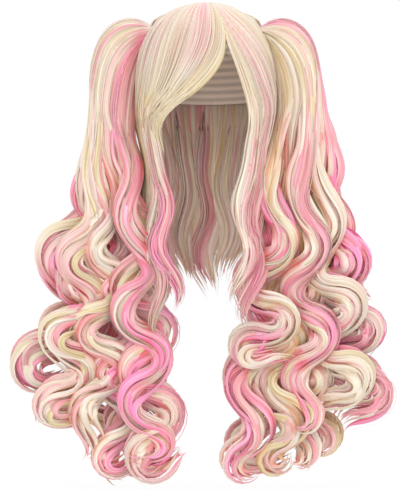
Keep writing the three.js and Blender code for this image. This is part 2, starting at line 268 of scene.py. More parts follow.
class WigHairSettings(bpy.types.PropertyGroup):
    """Colours and sizes of the hair"""

    blond: bpy.props.FloatVectorProperty(
        name="Blond", description="The yellowest strands", subtype="COLOR", min=0, max=1,
        default=linear(226, 208, 168),
    )
    cream: bpy.props.FloatVectorProperty(
        name="Cream", description="Most of the strands", subtype="COLOR", min=0, max=1,
        default=linear(238, 226, 209),
    )
    pale_pink: bpy.props.FloatVectorProperty(
        name="Pale pink", description="Strands beside the pink streaks", subtype="COLOR", min=0, max=1,
        default=linear(235, 192, 186),
    )
    pink: bpy.props.FloatVectorProperty(
        name="Pink", description="Strands of the pink streaks", subtype="COLOR", min=0, max=1,
        default=linear(240, 167, 177),
    )
    hot_pink: bpy.props.FloatVectorProperty(
        name="Hot pink", description="The strongest streaks", subtype="COLOR", min=0, max=1,
        default=linear(250, 160, 198),
    )
    # Painted shade between locks: a strand's own colour, raised to a power, is tinted by this where other
    # hair lies close outside it.
    depth: bpy.props.FloatVectorProperty(
        name="Depth", description="What deep hair keeps of its colour", subtype="COLOR", min=0, max=1,
        default=linear(255, 217, 203),
    )
    strand_width: bpy.props.FloatProperty(
        name="Strand width", description="Width of a usual strand", unit="LENGTH", min=0.0005,
        default=0.0036,
    )
    roughness: bpy.props.FloatProperty(
        name="Roughness", description="How dull the hair's shine is", subtype="FACTOR", min=0, max=1,
        default=0.42,
    )


class WigCapSettings(bpy.types.PropertyGroup):
    """Colours and sizes of the cap and the clips"""

    lining: bpy.props.FloatVectorProperty(
        name="Lining", description="Colour inside the cap", subtype="COLOR", min=0, max=1,
        default=linear(250, 236, 222),
    )
    weft: bpy.props.FloatProperty(
        name="Weft", description="Height of one row of sewn hair inside the cap", unit="LENGTH", min=0.002,
        default=0.011,
    )
    clip: bpy.props.FloatVectorProperty(
        name="Clip", description="Colour of the clips", subtype="COLOR", min=0, max=1,
        default=linear(217, 201, 180),
    )


class WigStageSettings(bpy.types.PropertyGroup):
    """Floor, light and camera"""

    floor_gap: bpy.props.FloatProperty(
        name="Floor gap", description="Height of the lowest curl above the floor", unit="LENGTH",
        default=0.03,
    )
    camera_distance: bpy.props.FloatProperty(
        name="Camera distance", description="From the camera to the middle of the wig", unit="LENGTH",
        default=2.6,
    )
    view_height: bpy.props.FloatProperty(
        name="View height", description="Height of the picture at the wig", unit="LENGTH",
        default=0.7105,
    )
    key_power: bpy.props.FloatProperty(
        name="Key light", description="Power of the large light beside the camera", unit="POWER",
        default=8.6,
    )


# Joined meshes of strands

STRAND_PROFILE = np.array([(1.0, -0.35), (0.0, 1.0), (-1.0, -0.35)])
BUNDLE_SIDES = 6
BUNDLE_PROFILE = np.array([
    (math.cos(turn), math.sin(turn)) for turn in np.linspace(0, 2 * math.pi, BUNDLE_SIDES, endpoint=False)
])
STRAND_UV = "strand"  # across and along each strand, in metres
BAKE_UV = "OFBake"  # a place of its own for each strand, from 0 to 1
BAKE_MARGIN = 0.04  # round each strand's place
# the strands' colours: their own, with painted shade between locks and in the grooves
TINT = "tint"
GIRTH = 4.4  # the way round a flat tube, to half its width
EDGE_HEIGHT = 0.1  # points of a section that lie lower than this are on its edges


def tubes(settings, path, out, half_width, half_thick, profile, tint, relief=1.0, deep=1.0):
    """Closed tubes with pointed ends along the paths, which hold one row of stations each.

    tint and relief, which scales the section, may differ for each tube, station and side. deep is
    how much painted shade between locks the tubes take. The shading breaks along the edges of flat tubes.
    """
    count, stations = path.shape[:2]
    sides = len(profile)
    along = unit(np.gradient(path, axis=1))
    across = unit(np.cross(along, out))
    out = np.cross(across, along)
    relief = np.broadcast_to(relief, (count, stations, sides))[:, 1:-1, :, None]
    wide = across[:, 1:-1, None] * profile[:, :1] * half_width[:, 1:-1, None, None] * relief
    high = out[:, 1:-1, None] * profile[:, 1:] * half_thick[:, 1:-1, None, None] * relief
    rings = path[:, 1:-1, None] + wide + high
    points = np.concatenate([path[:, :1], rings.reshape(count, -1, 3), path[:, -1:]], axis=1)

    tint = np.broadcast_to(tint, (count, stations, sides, 3))[:, 1:-1]
    deep = np.broadcast_to(deep, (count, stations))[:, 1:-1, None, None]
    # Painted shade: where other hair lies just outside a tube, its own colour is darkened and tinted,
    # standing in for the shade between locks.
    shade = deep * hair_volume().shade(rings + PROBE * unit(wide + high))[..., None]
    painted_shade_tint = tint**SHADE_POWER * np.array(settings.depth)
    ring_tint = lerp(tint, painted_shade_tint, shade).reshape(count, -1, 3)
    tints = np.concatenate([ring_tint[:, :1], ring_tint, ring_tint[:, -1:]], axis=1)

    # The faces of one tube: quads between its rings, and a fan at each end.
    ring, side = np.meshgrid(np.arange(stations - 2), np.arange(sides), indexing="ij")
    here = 1 + ring * sides + side
    beside = 1 + ring * sides + (side + 1) % sides
    quads = np.stack([here[:-1], here[1:], beside[1:], beside[:-1]], axis=-1).reshape(-1, 4)
    last = points.shape[1] - 1
    root = np.stack([np.zeros(sides, int), here[0], beside[0]], axis=-1)
    tip = np.stack([np.full(sides, last), beside[-1], here[-1]], axis=-1)

    # The places of the faces' corners round and along their tube.
    run = np.linalg.norm(np.diff(path, axis=1), axis=-1).cumsum(axis=1)
    run = np.concatenate([np.zeros((count, 1)), run], axis=1)
    u_here = side[:-1] / sides
    u_beside = (side[:-1] + 1) / sides
    quad_u = np.stack([u_here, u_here, u_beside, u_beside], axis=-1).reshape(-1)
    quad_station = np.stack([ring[:-1], ring[:-1] + 1, ring[:-1] + 1, ring[:-1]], axis=-1).reshape(-1) + 1
    root_u = np.stack([side[0] + 0.5, side[0], side[0] + 1], axis=-1).reshape(-1) / sides
    tip_u = np.stack([side[0] + 0.5, side[0] + 1, side[0]], axis=-1).reshape(-1) / sides
    root_station = np.tile([0, 1, 1], sides)
    tip_station = np.tile([stations - 1, stations - 2, stations - 2], sides)
    corner_u = np.concatenate([quad_u, root_u, tip_u])
    corner_station = np.concatenate([quad_station, root_station, tip_station])
    girth = GIRTH * half_width.max(axis=1)
    on_edge = np.tile(np.abs(profile[:, 1]) < EDGE_HEIGHT, stations - 2)
    return {
        "points": points * MM,
        "tints": tints,
        "quads": quads,
        "fans": np.concatenate([root, tip]),
        "edge": np.concatenate([[True], on_edge, [True]]),
        "u": np.broadcast_to(corner_u, (count, len(corner_u))),
        "v": (run / run[:, -1:])[:, corner_station],
        "metres": np.stack([girth, run[:, -1]], axis=-1) * MM,
    }


def add_object(name, data):
    """A new object of the scene."""
    added = bpy.data.objects.new(name, data)
    bpy.context.scene.collection.objects.link(added)
    return added


def joined_mesh(name, groups, material, rng):
    """One object of all the groups' tubes, with their tints and maps."""
    tube_count = sum(len(g["points"]) for g in groups)
    columns = math.ceil(math.sqrt(2.0 * tube_count))
    cell = np.array([1.0 / columns, 1.0 / math.ceil(tube_count / columns)])
    points, tints, edges, corners, totals, strand_uv, bake_uv = [], [], [], [], [], [], []
    first_point = 0
    first_tube = 0
    for group in groups:
        count, size = group["points"].shape[:2]
        starts = first_point + size * np.arange(count)
        faces = np.concatenate([group["quads"].reshape(-1), group["fans"].reshape(-1)])
        corners.append((starts[:, None] + faces).reshape(-1))
        kinds = np.concatenate([np.full(len(group["quads"]), 4), np.full(len(group["fans"]), 3)])
        totals.append(np.tile(kinds, count))
        points.append(group["points"].reshape(-1, 3))
        tints.append(group["tints"].reshape(-1, 3))
        edges.append(np.tile(group["edge"], count))
        uv = np.stack([group["u"], group["v"]], axis=-1)
        strand_uv.append((uv * group["metres"][:, None] + rng.random((count, 1, 2))).reshape(-1, 2))
        number = first_tube + np.arange(count)
        corner = np.stack([number % columns, number // columns], axis=-1) * cell
        inside = BAKE_MARGIN + (1.0 - 2.0 * BAKE_MARGIN) * uv
        bake_uv.append((corner[:, None] + inside * cell).reshape(-1, 2))
        first_point += count * size
        first_tube += count
    points = np.concatenate(points)
    corners = np.concatenate(corners)
    totals = np.concatenate(totals)

    mesh = bpy.data.meshes.new(name)
    mesh.vertices.add(len(points))
    mesh.vertices.foreach_set("co", points.astype(np.float32).reshape(-1))
    mesh.loops.add(len(corners))
    mesh.loops.foreach_set("vertex_index", corners.astype(np.int32))
    mesh.polygons.add(len(totals))
    mesh.polygons.foreach_set("loop_start", np.concatenate([[0], totals.cumsum()[:-1]]).astype(np.int32))
    mesh.polygons.foreach_set("use_smooth", np.ones(len(totals), bool))
    mesh.update(calc_edges=True)
    ends = np.zeros(2 * len(mesh.edges), np.int32)
    mesh.edges.foreach_get("vertices", ends)
    mesh.edges.foreach_set("use_edge_sharp", np.concatenate(edges)[ends].reshape(-1, 2).all(axis=1))
    for map_name, places in ((STRAND_UV, strand_uv), (BAKE_UV, bake_uv)):
        layer = mesh.uv_layers.new(name=map_name)
        layer.uv.foreach_set("vector", np.concatenate(places).astype(np.float32).reshape(-1))
    colours = np.concatenate([np.concatenate(tints), np.ones((len(points), 1))], axis=1)
    mesh.color_attributes.new(TINT, "FLOAT_COLOR", "POINT")
    mesh.color_attributes[TINT].data.foreach_set("color", colours.astype(np.float32).reshape(-1))
    if mesh.validate():
        raise RuntimeError(f"{name} has faces that Blender had to mend")
    mesh.materials.append(material)
    return add_object(name, mesh)


# Colours of strands

PINK_STEPS = (0.0, 0.28, 0.5, 0.75, 1.0)
PINK_SPREAD = 0.17  # how far the streaks in a bundle differ
PINK_DRIFT = 0.16  # how far a bundle's dye changes along it
DYED_DEPTH = 60.0  # the dye fades out over this much behind the middle

# Where the dye is strongest in front: X, Z, half width, half height and how much.
DYED = np.array([
    [-228, -380, 22, 50, 0.35],
    [-263, -552, 25, 40, 0.30],
    [-185, -410, 18, 40, 0.25],
    [-60, -370, 26, 110, 0.35],
    [-104, -540, 20, 40, 0.45],
    [-30, -655, 40, 25, 0.20],
    [70, -385, 14, 85, 0.30],
    [225, -345, 20, 40, 0.30],
    [178, -470, 14, 40, 0.30],
    [80, -490, 14, 35, 0.25],
    [-96, -36, 9, 18, 0.25],
])


def streaked(settings, pink):
    """The strands' own colours, from blond at 0 to hot pink at 1."""
    steps = [settings.blond, settings.cream, settings.pale_pink, settings.pink, settings.hot_pink]
    steps = np.array([tuple(colour) for colour in steps])
    return np.stack([np.interp(pink, PINK_STEPS, steps[:, channel]) for channel in range(3)], axis=-1)


def dyed(path):
    """How much pink the dye adds along these paths."""
    added = np.zeros(path.shape[:-1])
    for x, z, wide, high, amount in DYED:
        away = ((path[..., 0] - x) / wide) ** 2 + ((path[..., 2] - z) / high) ** 2
        added += amount * np.exp(-away) * smoothstep(-path[..., 1], -DYED_DEPTH, 0.0)
    return added


def drawn_out(values, stations):
    """Random values at a few knots along each strand, drawn out smoothly over its stations."""
    places = np.linspace(0.0, values.shape[1] - 1.0, stations)
    below = np.minimum(places.astype(int), values.shape[1] - 2)
    part = smoothstep(places - below, 0.0, 1.0).reshape(1, -1, *[1] * (values.ndim - 2))
    return lerp(values[:, below], values[:, below + 1], part)


def drawn_at(values, places):
    """Random values at a few knots along each strand, at places from 0 to 1 of their own."""
    places = np.clip(places, 0.0, 1.0) * (values.shape[1] - 1.0)
    below = np.minimum(places.astype(int), values.shape[1] - 2)
    strand = np.arange(len(values))[:, None]
    return lerp(values[strand, below], values[strand, below + 1], smoothstep(places - below, 0.0, 1.0))


BUNDLE_KNOTS = 6
FLUTE = 0.10  # height of the ridges along a bundle, as a share of its section
UNEVEN = 0.09
SLEEKNESS = 0.8  # how much of its ridges sleek hair loses
STREAK_BLEED = 0.7  # how much of a streak its neighbours take up
BUNDLE_TONE = (0.95, 1.03)
GROOVE_SHADE_RIDGE_LIGHT = (-0.05, 0.03)  # painted shade that the grooves lose and painted light that the ridges gain


def bundles(rng, settings, path, out, half_width, half_thick, pink, deep=1.0, sleek=0.0):
    """Bundles of strands that lie close: closed bodies with ridges and streaks along them.

    sleek is how smooth they are, from 0 for curls to 1 for hair that lies as a sheet.
    """
    count, stations = path.shape[:2]
    rough = 1.0 - SLEEKNESS * np.broadcast_to(sleek, (count, stations))[..., None]
    ridge = drawn_out(rng.uniform(-1.0, 1.0, (count, BUNDLE_KNOTS, BUNDLE_SIDES)), stations)
    alternate = np.where(np.arange(BUNDLE_SIDES) % 2, -1.0, 1.0)
    relief = 1.0 + rough * (FLUTE * alternate + UNEVEN * ridge)
    streak = rng.uniform(-1.0, 1.0, (count, BUNDLE_KNOTS, BUNDLE_SIDES))
    streak = streak + STREAK_BLEED * (np.roll(streak, 1, axis=-1) + np.roll(streak, -1, axis=-1))
    pink = pink + dyed(path) + PINK_DRIFT * drawn_out(rng.uniform(-1.0, 1.0, (count, BUNDLE_KNOTS)), stations)
    pink = pink[..., None] + PINK_SPREAD * drawn_out(streak, stations)
    tint = streaked(settings, np.clip(pink, 0.0, 1.0))
    # Painted shade and light: besides a random tone for each bundle, the grooves between strands are painted
    # darker and the ridges lighter.
    raised = smoothstep(relief, 1.0 - FLUTE - 0.5 * UNEVEN, 1.0 + FLUTE)
    tone = rng.uniform(*BUNDLE_TONE, (count, 1, 1)) * (1.0 + rough * lerp(*GROOVE_SHADE_RIDGE_LIGHT, raised))
    tint = np.clip(tint * tone[..., None], 0.0, 1.0)
    return tubes(settings, path, out, half_width, half_thick, BUNDLE_PROFILE, tint, relief, deep)


STRAND_ROOT = 0.4  # a loose strand's width at its root, as a share of its full width
STRAND_FULL_FROM = 0.06
STRAND_TAPER_FROM = (0.6, 0.85)
STRAND_FLATNESS = 0.35
STRAND_TONE = (0.94, 1.05)


def loose_strands(rng, settings, path, out, width, pink, deep=1.0):
    """Single strands that lie over the bundles. width is a share of the usual strand's."""
    count, stations = path.shape[:2]
    along = np.linspace(0.0, 1.0, stations)[None, :]
    root = lerp(STRAND_ROOT, 1.0, smoothstep(along, 0.0, STRAND_FULL_FROM))
    tip = np.sqrt(1.0 - smoothstep(along, rng.uniform(*STRAND_TAPER_FROM, (count, 1)), TAPER_TO))
    usual = width * settings.strand_width / MM / 2.0
    half = usual * np.exp(rng.normal(0.0, 0.3, (count, 1))) * root * tip
    pink = pink + dyed(path) + rng.normal(0.0, 0.08, (count, 1))
    tint = streaked(settings, np.clip(pink, 0.0, 1.0)) * rng.uniform(*STRAND_TONE, (count, 1, 1))
    tint = np.clip(tint, 0.0, 1.0)[:, :, None]
    return tubes(settings, path, out, half, STRAND_FLATNESS * half, STRAND_PROFILE, tint, 1.0, deep)


# Hair on the crown

LOWEST_DROP = 520.0
ARC_DROPS = -CROWN_TOP + (LOWEST_DROP + CROWN_TOP) * np.linspace(0.0, 1.0, 1600) ** 3
ARC_RADIUS = 0.5 * (CROWN_HALF_WIDTH + CROWN_HALF_DEPTH) * dome_share(ARC_DROPS)
ARC_LENGTHS = np.concatenate([[0.0], np.hypot(np.diff(ARC_DROPS), np.diff(ARC_RADIUS)).cumsum()])


def even_drops(start, end, stations):
    """Drops spaced evenly along the dome's surface, a row for each strand."""
    first = np.interp(start, ARC_DROPS, ARC_LENGTHS)
    last = np.interp(end, ARC_DROPS, ARC_LENGTHS)
    share = np.linspace(0.0, 1.0, stations)
    return np.interp(lerp(first[:, None], last[:, None], share), ARC_LENGTHS, ARC_DROPS)


def lock_fullness(row, drop):
    """How full locks of crown hair are at these drops."""
    return fullness(np.clip((drop - row["root_drop"]) / (row["hem_drop"] - row["root_drop"]), 0.0, 1.0))


SWEEP_EASE = np.linspace(-18.0, 18.0, 7)  # the sweep is evened out over this much of the drop


def swept_azimuth(row, drop):
    """The azimuth of crown hair at these drops: from its root to its rest, and on to its hem."""
    swept = np.clip((drop - row["root_drop"]) / (row["settle_drop"] - row["root_drop"]), 0.0, 1.0)
    azimuth = lerp(row["root_az"], row["rest_az"], swept ** row["sweep"])
    return lerp(azimuth, row["hem_az"], smoothstep(drop, row["settle_drop"], row["hem_drop"]))


def crown_path(row, drop, across, up, wave=1.0, shift=0.0):
    """Points of crown hair at these drops, the way out of the head and the way round it.

    across and up place a strand in its lock, from -1 to 1 over its width and thickness.
    """
    full = lock_fullness(row, drop)
    azimuth = np.radians(np.mean([swept_azimuth(row, drop + ahead) for ahead in SWEEP_EASE], axis=0))
    grown = smoothstep(drop, JAW_DROP, NECK_DROP + row["pitch"])
    turn = 2.0 * np.pi * (drop - JAW_DROP) / row["pitch"] + np.radians(row["phase"] + shift)
    sideways = wave * row["wave"] * grown * np.sin(turn) + across * row["width"] / 2.0 * full
    dome = dome_share(drop)
    share = dome * hang_share(drop)
    out = unit(np.stack([np.sin(azimuth), -np.cos(azimuth), 1.0 - dome], axis=-1))
    aside = np.stack([np.cos(azimuth), np.sin(azimuth), np.zeros_like(drop)], axis=-1)
    settled = lerp(TOP_LIFT, 1.0, smoothstep(drop, -CROWN_TOP, TOP_LIFTED_DROP))
    bearing = np.degrees(np.arccos(np.cos(azimuth)))
    round_clip = (bearing - CLIP_AZ) / CLIP_SPREAD_AZ
    down_clip = (drop - CLIP_TOP_DROP) / CLIP_SPREAD_DROP
    rise = CLIP_RISE * np.exp(-(round_clip**2) - down_clip**2)
    height = row["thick"] * full * (LOCK_LIFT + up / 2.0) * settled + rise
    base = np.stack([
        CROWN_HALF_WIDTH * share * np.sin(azimuth), -CROWN_HALF_DEPTH * share * np.cos(azimuth), -drop,
    ], axis=-1)
    path = base + out * height[..., None] + aside * sideways[..., None]
    steep = rise * 2.0 * round_clip / CLIP_SPREAD_AZ / (np.radians(CROWN_HALF_DEPTH) * share)
    return path, unit(out + aside * (np.sign(np.sin(azimuth)) * steep)[..., None]), aside


class CrownHair:
    """Hair that lies as one sheet on the dome and gathers into wavy locks below it."""

    PER_LOCK = 13  # bundles side by side
    ROOT_UNEVEN = 0.5
    LOCK_WIDTH = 1.5  # how far apart bundles lie in a lock, to their places on the sheet
    SHEET_LIFT = (0.32, 0.08)  # their height on the sheet, and how much it differs
    OVERLAP = 1.15  # half a bundle's width, to its share of the lock's
    SHEET_FLATNESS = 0.22
    LOCK_THICKNESS = 0.16  # half a bundle's thickness, to the lock's
    AT_TOP = 0.03  # the least share of its width that a bundle has, at the top of the dome
    TIP_FROM = 0.86
    ROUND = 0.95  # how far out loose strands lie in their lock
    PAINTED_SHADE = (0.2, 0.6)  # how much painted shade the sheet and the locks take

    def __init__(self, rng, settings, rows, from_top=0.0, fade=(1.0, 1.0, 150.0, 290.0)):
        self.rng = rng
        self.settings = settings
        self.rows = rows
        self.from_top = from_top
        self.fade = fade  # the share of pink above and below, and the drops it changes between
        self.locks = len(rows["width"])
        self.wave = 1.0 + rng.normal(0.0, 0.12, (self.locks, self.PER_LOCK))
        self.shift = rng.normal(0.0, 12.0, (self.locks, self.PER_LOCK))
        self.pink = rng.normal(0.0, 0.10, (self.locks, self.PER_LOCK))

    def lay(self, lock, beside, across, up, sheet_up, ends, stations):
        """Paths and the way out for strands: beside is their place on the sheet, within half a row."""
        rng = self.rng
        count = len(lock)
        sheet_row = columns_at(self.rows, lock + beside)
        lock_row = columns_at(self.rows, lock.astype(float))
        group = np.clip(((beside + 0.5) * self.PER_LOCK).astype(int), 0, self.PER_LOCK - 1)
        wave = (self.wave[lock, group] + rng.normal(0.0, 0.04, count))[:, None]
        shift = (self.shift[lock, group] + rng.normal(0.0, 3.0, count))[:, None]
        root = lock_row["root_drop"][:, 0]
        start = lerp(root, -CROWN_TOP, self.from_top) + rng.uniform(0.0, self.ROOT_UNEVEN, count) ** 2
        drop = even_drops(start, lerp(start, lock_row["hem_drop"][:, 0], ends), stations)
        on_sheet, out, _ = crown_path(sheet_row, drop, 0.0, sheet_up[:, None], wave, shift)
        in_lock, lock_out, lock_aside = crown_path(lock_row, drop, across[:, None], up[:, None], wave, shift)
        gathered = smoothstep(drop, GATHER_FROM, GATHER_TO)[..., None]
        pink = sheet_row["pink"] + self.pink[lock, group][:, None]
        above, below, fade_from, fade_to = self.fade
        pink = pink * lerp(above, below, smoothstep(drop, fade_from, fade_to))
        return drop, lerp(on_sheet, in_lock, gathered), (out, lock_out, lock_aside, gathered), pink

    def bundles(self, stations):
        """Flat bundles side by side over each lock."""
        per_lock = self.PER_LOCK
        lock = np.repeat(np.arange(self.locks), per_lock)
        count = len(lock)
        beside = np.tile((np.arange(per_lock) + 0.5) / per_lock - 0.5, self.locks)
        up = self.rng.uniform(-0.45, 0.55, count)
        sheet_up = self.SHEET_LIFT[0] + self.SHEET_LIFT[1] * up
        ends = self.rng.uniform(0.9, 0.98, count)
        drop, path, ways, pink = self.lay(
            lock, beside, self.LOCK_WIDTH * beside, up, sheet_up, ends, stations)
        out, lock_out, _, gathered = ways
        row = columns_at(self.rows, lock.astype(float))
        full = lock_fullness(row, drop)
        on_top = np.maximum(dome_share(drop), self.AT_TOP)
        tip = np.sqrt(1.0 - smoothstep(np.linspace(0.0, 1.0, stations), self.TIP_FROM, 1.0))
        in_lock = gathered[..., 0]
        half_width = self.OVERLAP * row["width"] / per_lock * on_top * lerp(1.0, full, in_lock) * tip
        on_sheet = self.SHEET_FLATNESS * half_width
        half_thick = lerp(on_sheet, self.LOCK_THICKNESS * row["thick"] * full, in_lock)
        return bundles(self.rng, self.settings, path, unit(lerp(out, lock_out, gathered)),
                       half_width, half_thick, pink, lerp(*self.PAINTED_SHADE, in_lock), 1.0 - in_lock)

    def strands(self, per_lock, stations, width):
        """Loose strands round each lock."""
        rng = self.rng
        lock = np.repeat(np.arange(self.locks), per_lock)
        count = len(lock)
        around = rng.uniform(0.0, 2.0 * np.pi, count)
        beside = np.arcsin(np.cos(around)) / np.pi
        across = self.ROUND * np.cos(around)
        up = self.ROUND * np.sin(around)
        sheet_up = rng.uniform(0.4, 0.62, count)
        ends = rng.uniform(0.85, 0.99, count)
        _, path, ways, pink = self.lay(lock, beside, across, up, sheet_up, ends, stations)
        out, lock_out, lock_aside, gathered = ways
        round_lock = unit(
            lock_aside * (np.cos(around) / self.rows["width"][lock])[:, None, None]
            + lock_out * (np.sin(around) / self.rows["thick"][lock])[:, None, None])
        return loose_strands(rng, self.settings, path, unit(lerp(out, round_lock, gathered)), width, pink,
                             lerp(*self.PAINTED_SHADE, gathered[..., 0]))


# Ponytails

FAN = np.linspace(-1.0, 1.0, 25)[:, None]  # from the trunk's innermost strands to its outermost
FAN_START = -30.0  # along the trunk, whose strands are followed to past the ends of the curls
FAN_END = TRUNK_LENGTH + 700.0
TRUNK_RUN = np.arange(FAN_START, FAN_END)
FAN_LAUNCH = lerp(LAUNCH_INNER, LAUNCH_OUTER, (FAN + 1.0) / 2.0)
LAUNCH_EASE = 1.6
FAN_FALL = np.exp(-((np.maximum(TRUNK_RUN, 0.0) / LAUNCH_LENGTH) ** LAUNCH_EASE))
FAN_HEADING = np.radians(np.where(TRUNK_RUN < 0.0, 90.0, lerp(TRUNK_LEAN, FAN_LAUNCH, FAN_FALL)))
FAN_OUT = np.sin(FAN_HEADING).cumsum(axis=1)
FAN_DROP = np.cos(FAN_HEADING).cumsum(axis=1)
FAN_ROOT = int(-TRUNK_RUN[0])
FAN_OUT += CLIP_OUT - FAN_OUT[:, FAN_ROOT:FAN_ROOT + 1]
FAN_DROP += CLIP_DROP - ROOT_RISE * FAN - FAN_DROP[:, FAN_ROOT:FAN_ROOT + 1]


def trunk_path(fan, length):
    """Out, drop and back of the trunk's strands at these lengths, and the heading there in radians."""
    row = np.clip((fan + 1.0) / 2.0, 0.0, 1.0) * (len(FAN) - 1.0)
    row_below = np.minimum(row.astype(int), len(FAN) - 2)
    station = length - TRUNK_RUN[0]
    below = station.astype(int)
    values = []
    for grid in (FAN_OUT, FAN_DROP, FAN_HEADING):
        inner = lerp(grid[row_below, below], grid[row_below, below + 1], station - below)
        outer = lerp(grid[row_below + 1, below], grid[row_below + 1, below + 1], station - below)
        values.append(lerp(inner, outer, row - row_below))
    out, drop, heading = values
    back = lerp(CLIP_BACK, 0.0, np.clip(length / TRUNK_LENGTH, 0.0, 1.0))
    return out, drop, back, heading


def trunk_spread(length):
    """How far the trunk's strands have fanned out to the front and back."""
    return TRUNK_THICK / 2.0 * lerp(ROOT_SPREAD, 1.0, smoothstep(length, -ROOT_TUCK, LAUNCH_LENGTH))


# The straight part of the trunk needs fewer stations than the curls.
CURL_STATIONS = (0.0, 0.1, 0.33, 1.0)
CURL_STATIONS_AT = (0.0, 0.09, 0.42, 1.0)


def curl_path(row, start, total, stations, swing=1.0, shift=0.0, lean=0.0):
    """The middle of each curl, from start to total along its strand, which begins at the clip."""
    steps = 4
    fine = np.linspace(0.0, 1.0, (stations - 1) * steps + 1)
    kept = np.interp(np.linspace(0.0, 1.0, stations), CURL_STATIONS, CURL_STATIONS_AT)
    kept = np.round(kept * (len(fine) - 1)).astype(int)
    length = lerp(start[:, None], total[:, None], fine) - CURL_ROOT_LENGTH
    hung = np.maximum(length, 0.0)
    turn = 2.0 * np.pi * hung / row["pitch"] + np.radians(row["phase"] + shift)
    grown = smoothstep(hung, 0.0, WAVE_FULL)
    to_end = np.maximum(0.0, (hung - row["length"] + END_CURL_LENGTH) / END_CURL_LENGTH)
    end_curl = CURL_UP * row["curl"] * to_end
    heading = np.radians(row["lean"] + lean + swing * row["swing"] * grown * np.sin(turn) + end_curl)
    step = ((total - start) / (len(fine) - 1))[:, None]
    begin = np.zeros((len(total), 1))
    out = np.concatenate([begin, (np.sin(heading) * step)[:, :-1].cumsum(axis=1)], axis=1)
    drop = np.concatenate([begin, (np.cos(heading) * step)[:, :-1].cumsum(axis=1)], axis=1)
    root = (CURL_ROOT_LENGTH - start) / step[:, 0]
    strand = np.arange(len(total))
    below = np.floor(root).astype(int)
    for values, place in ((out, row["lane"]), (drop, CURL_ROOT_DROP)):
        at_root = lerp(values[strand, below], values[strand, below + 1], root - below)
        values += place - at_root[:, None]
    behind = row["front"] < 0.0
    leave = np.where(behind, smoothstep(length, -STAY_BACK, STAY_BACK), smoothstep(hung, 0.0, COME_FORWARD))
    back = -row["front"] * leave + WAVE_DEPTH * grown * np.cos(turn)
    return [values[:, kept] for values in (out, drop, back, heading, length, turn)]


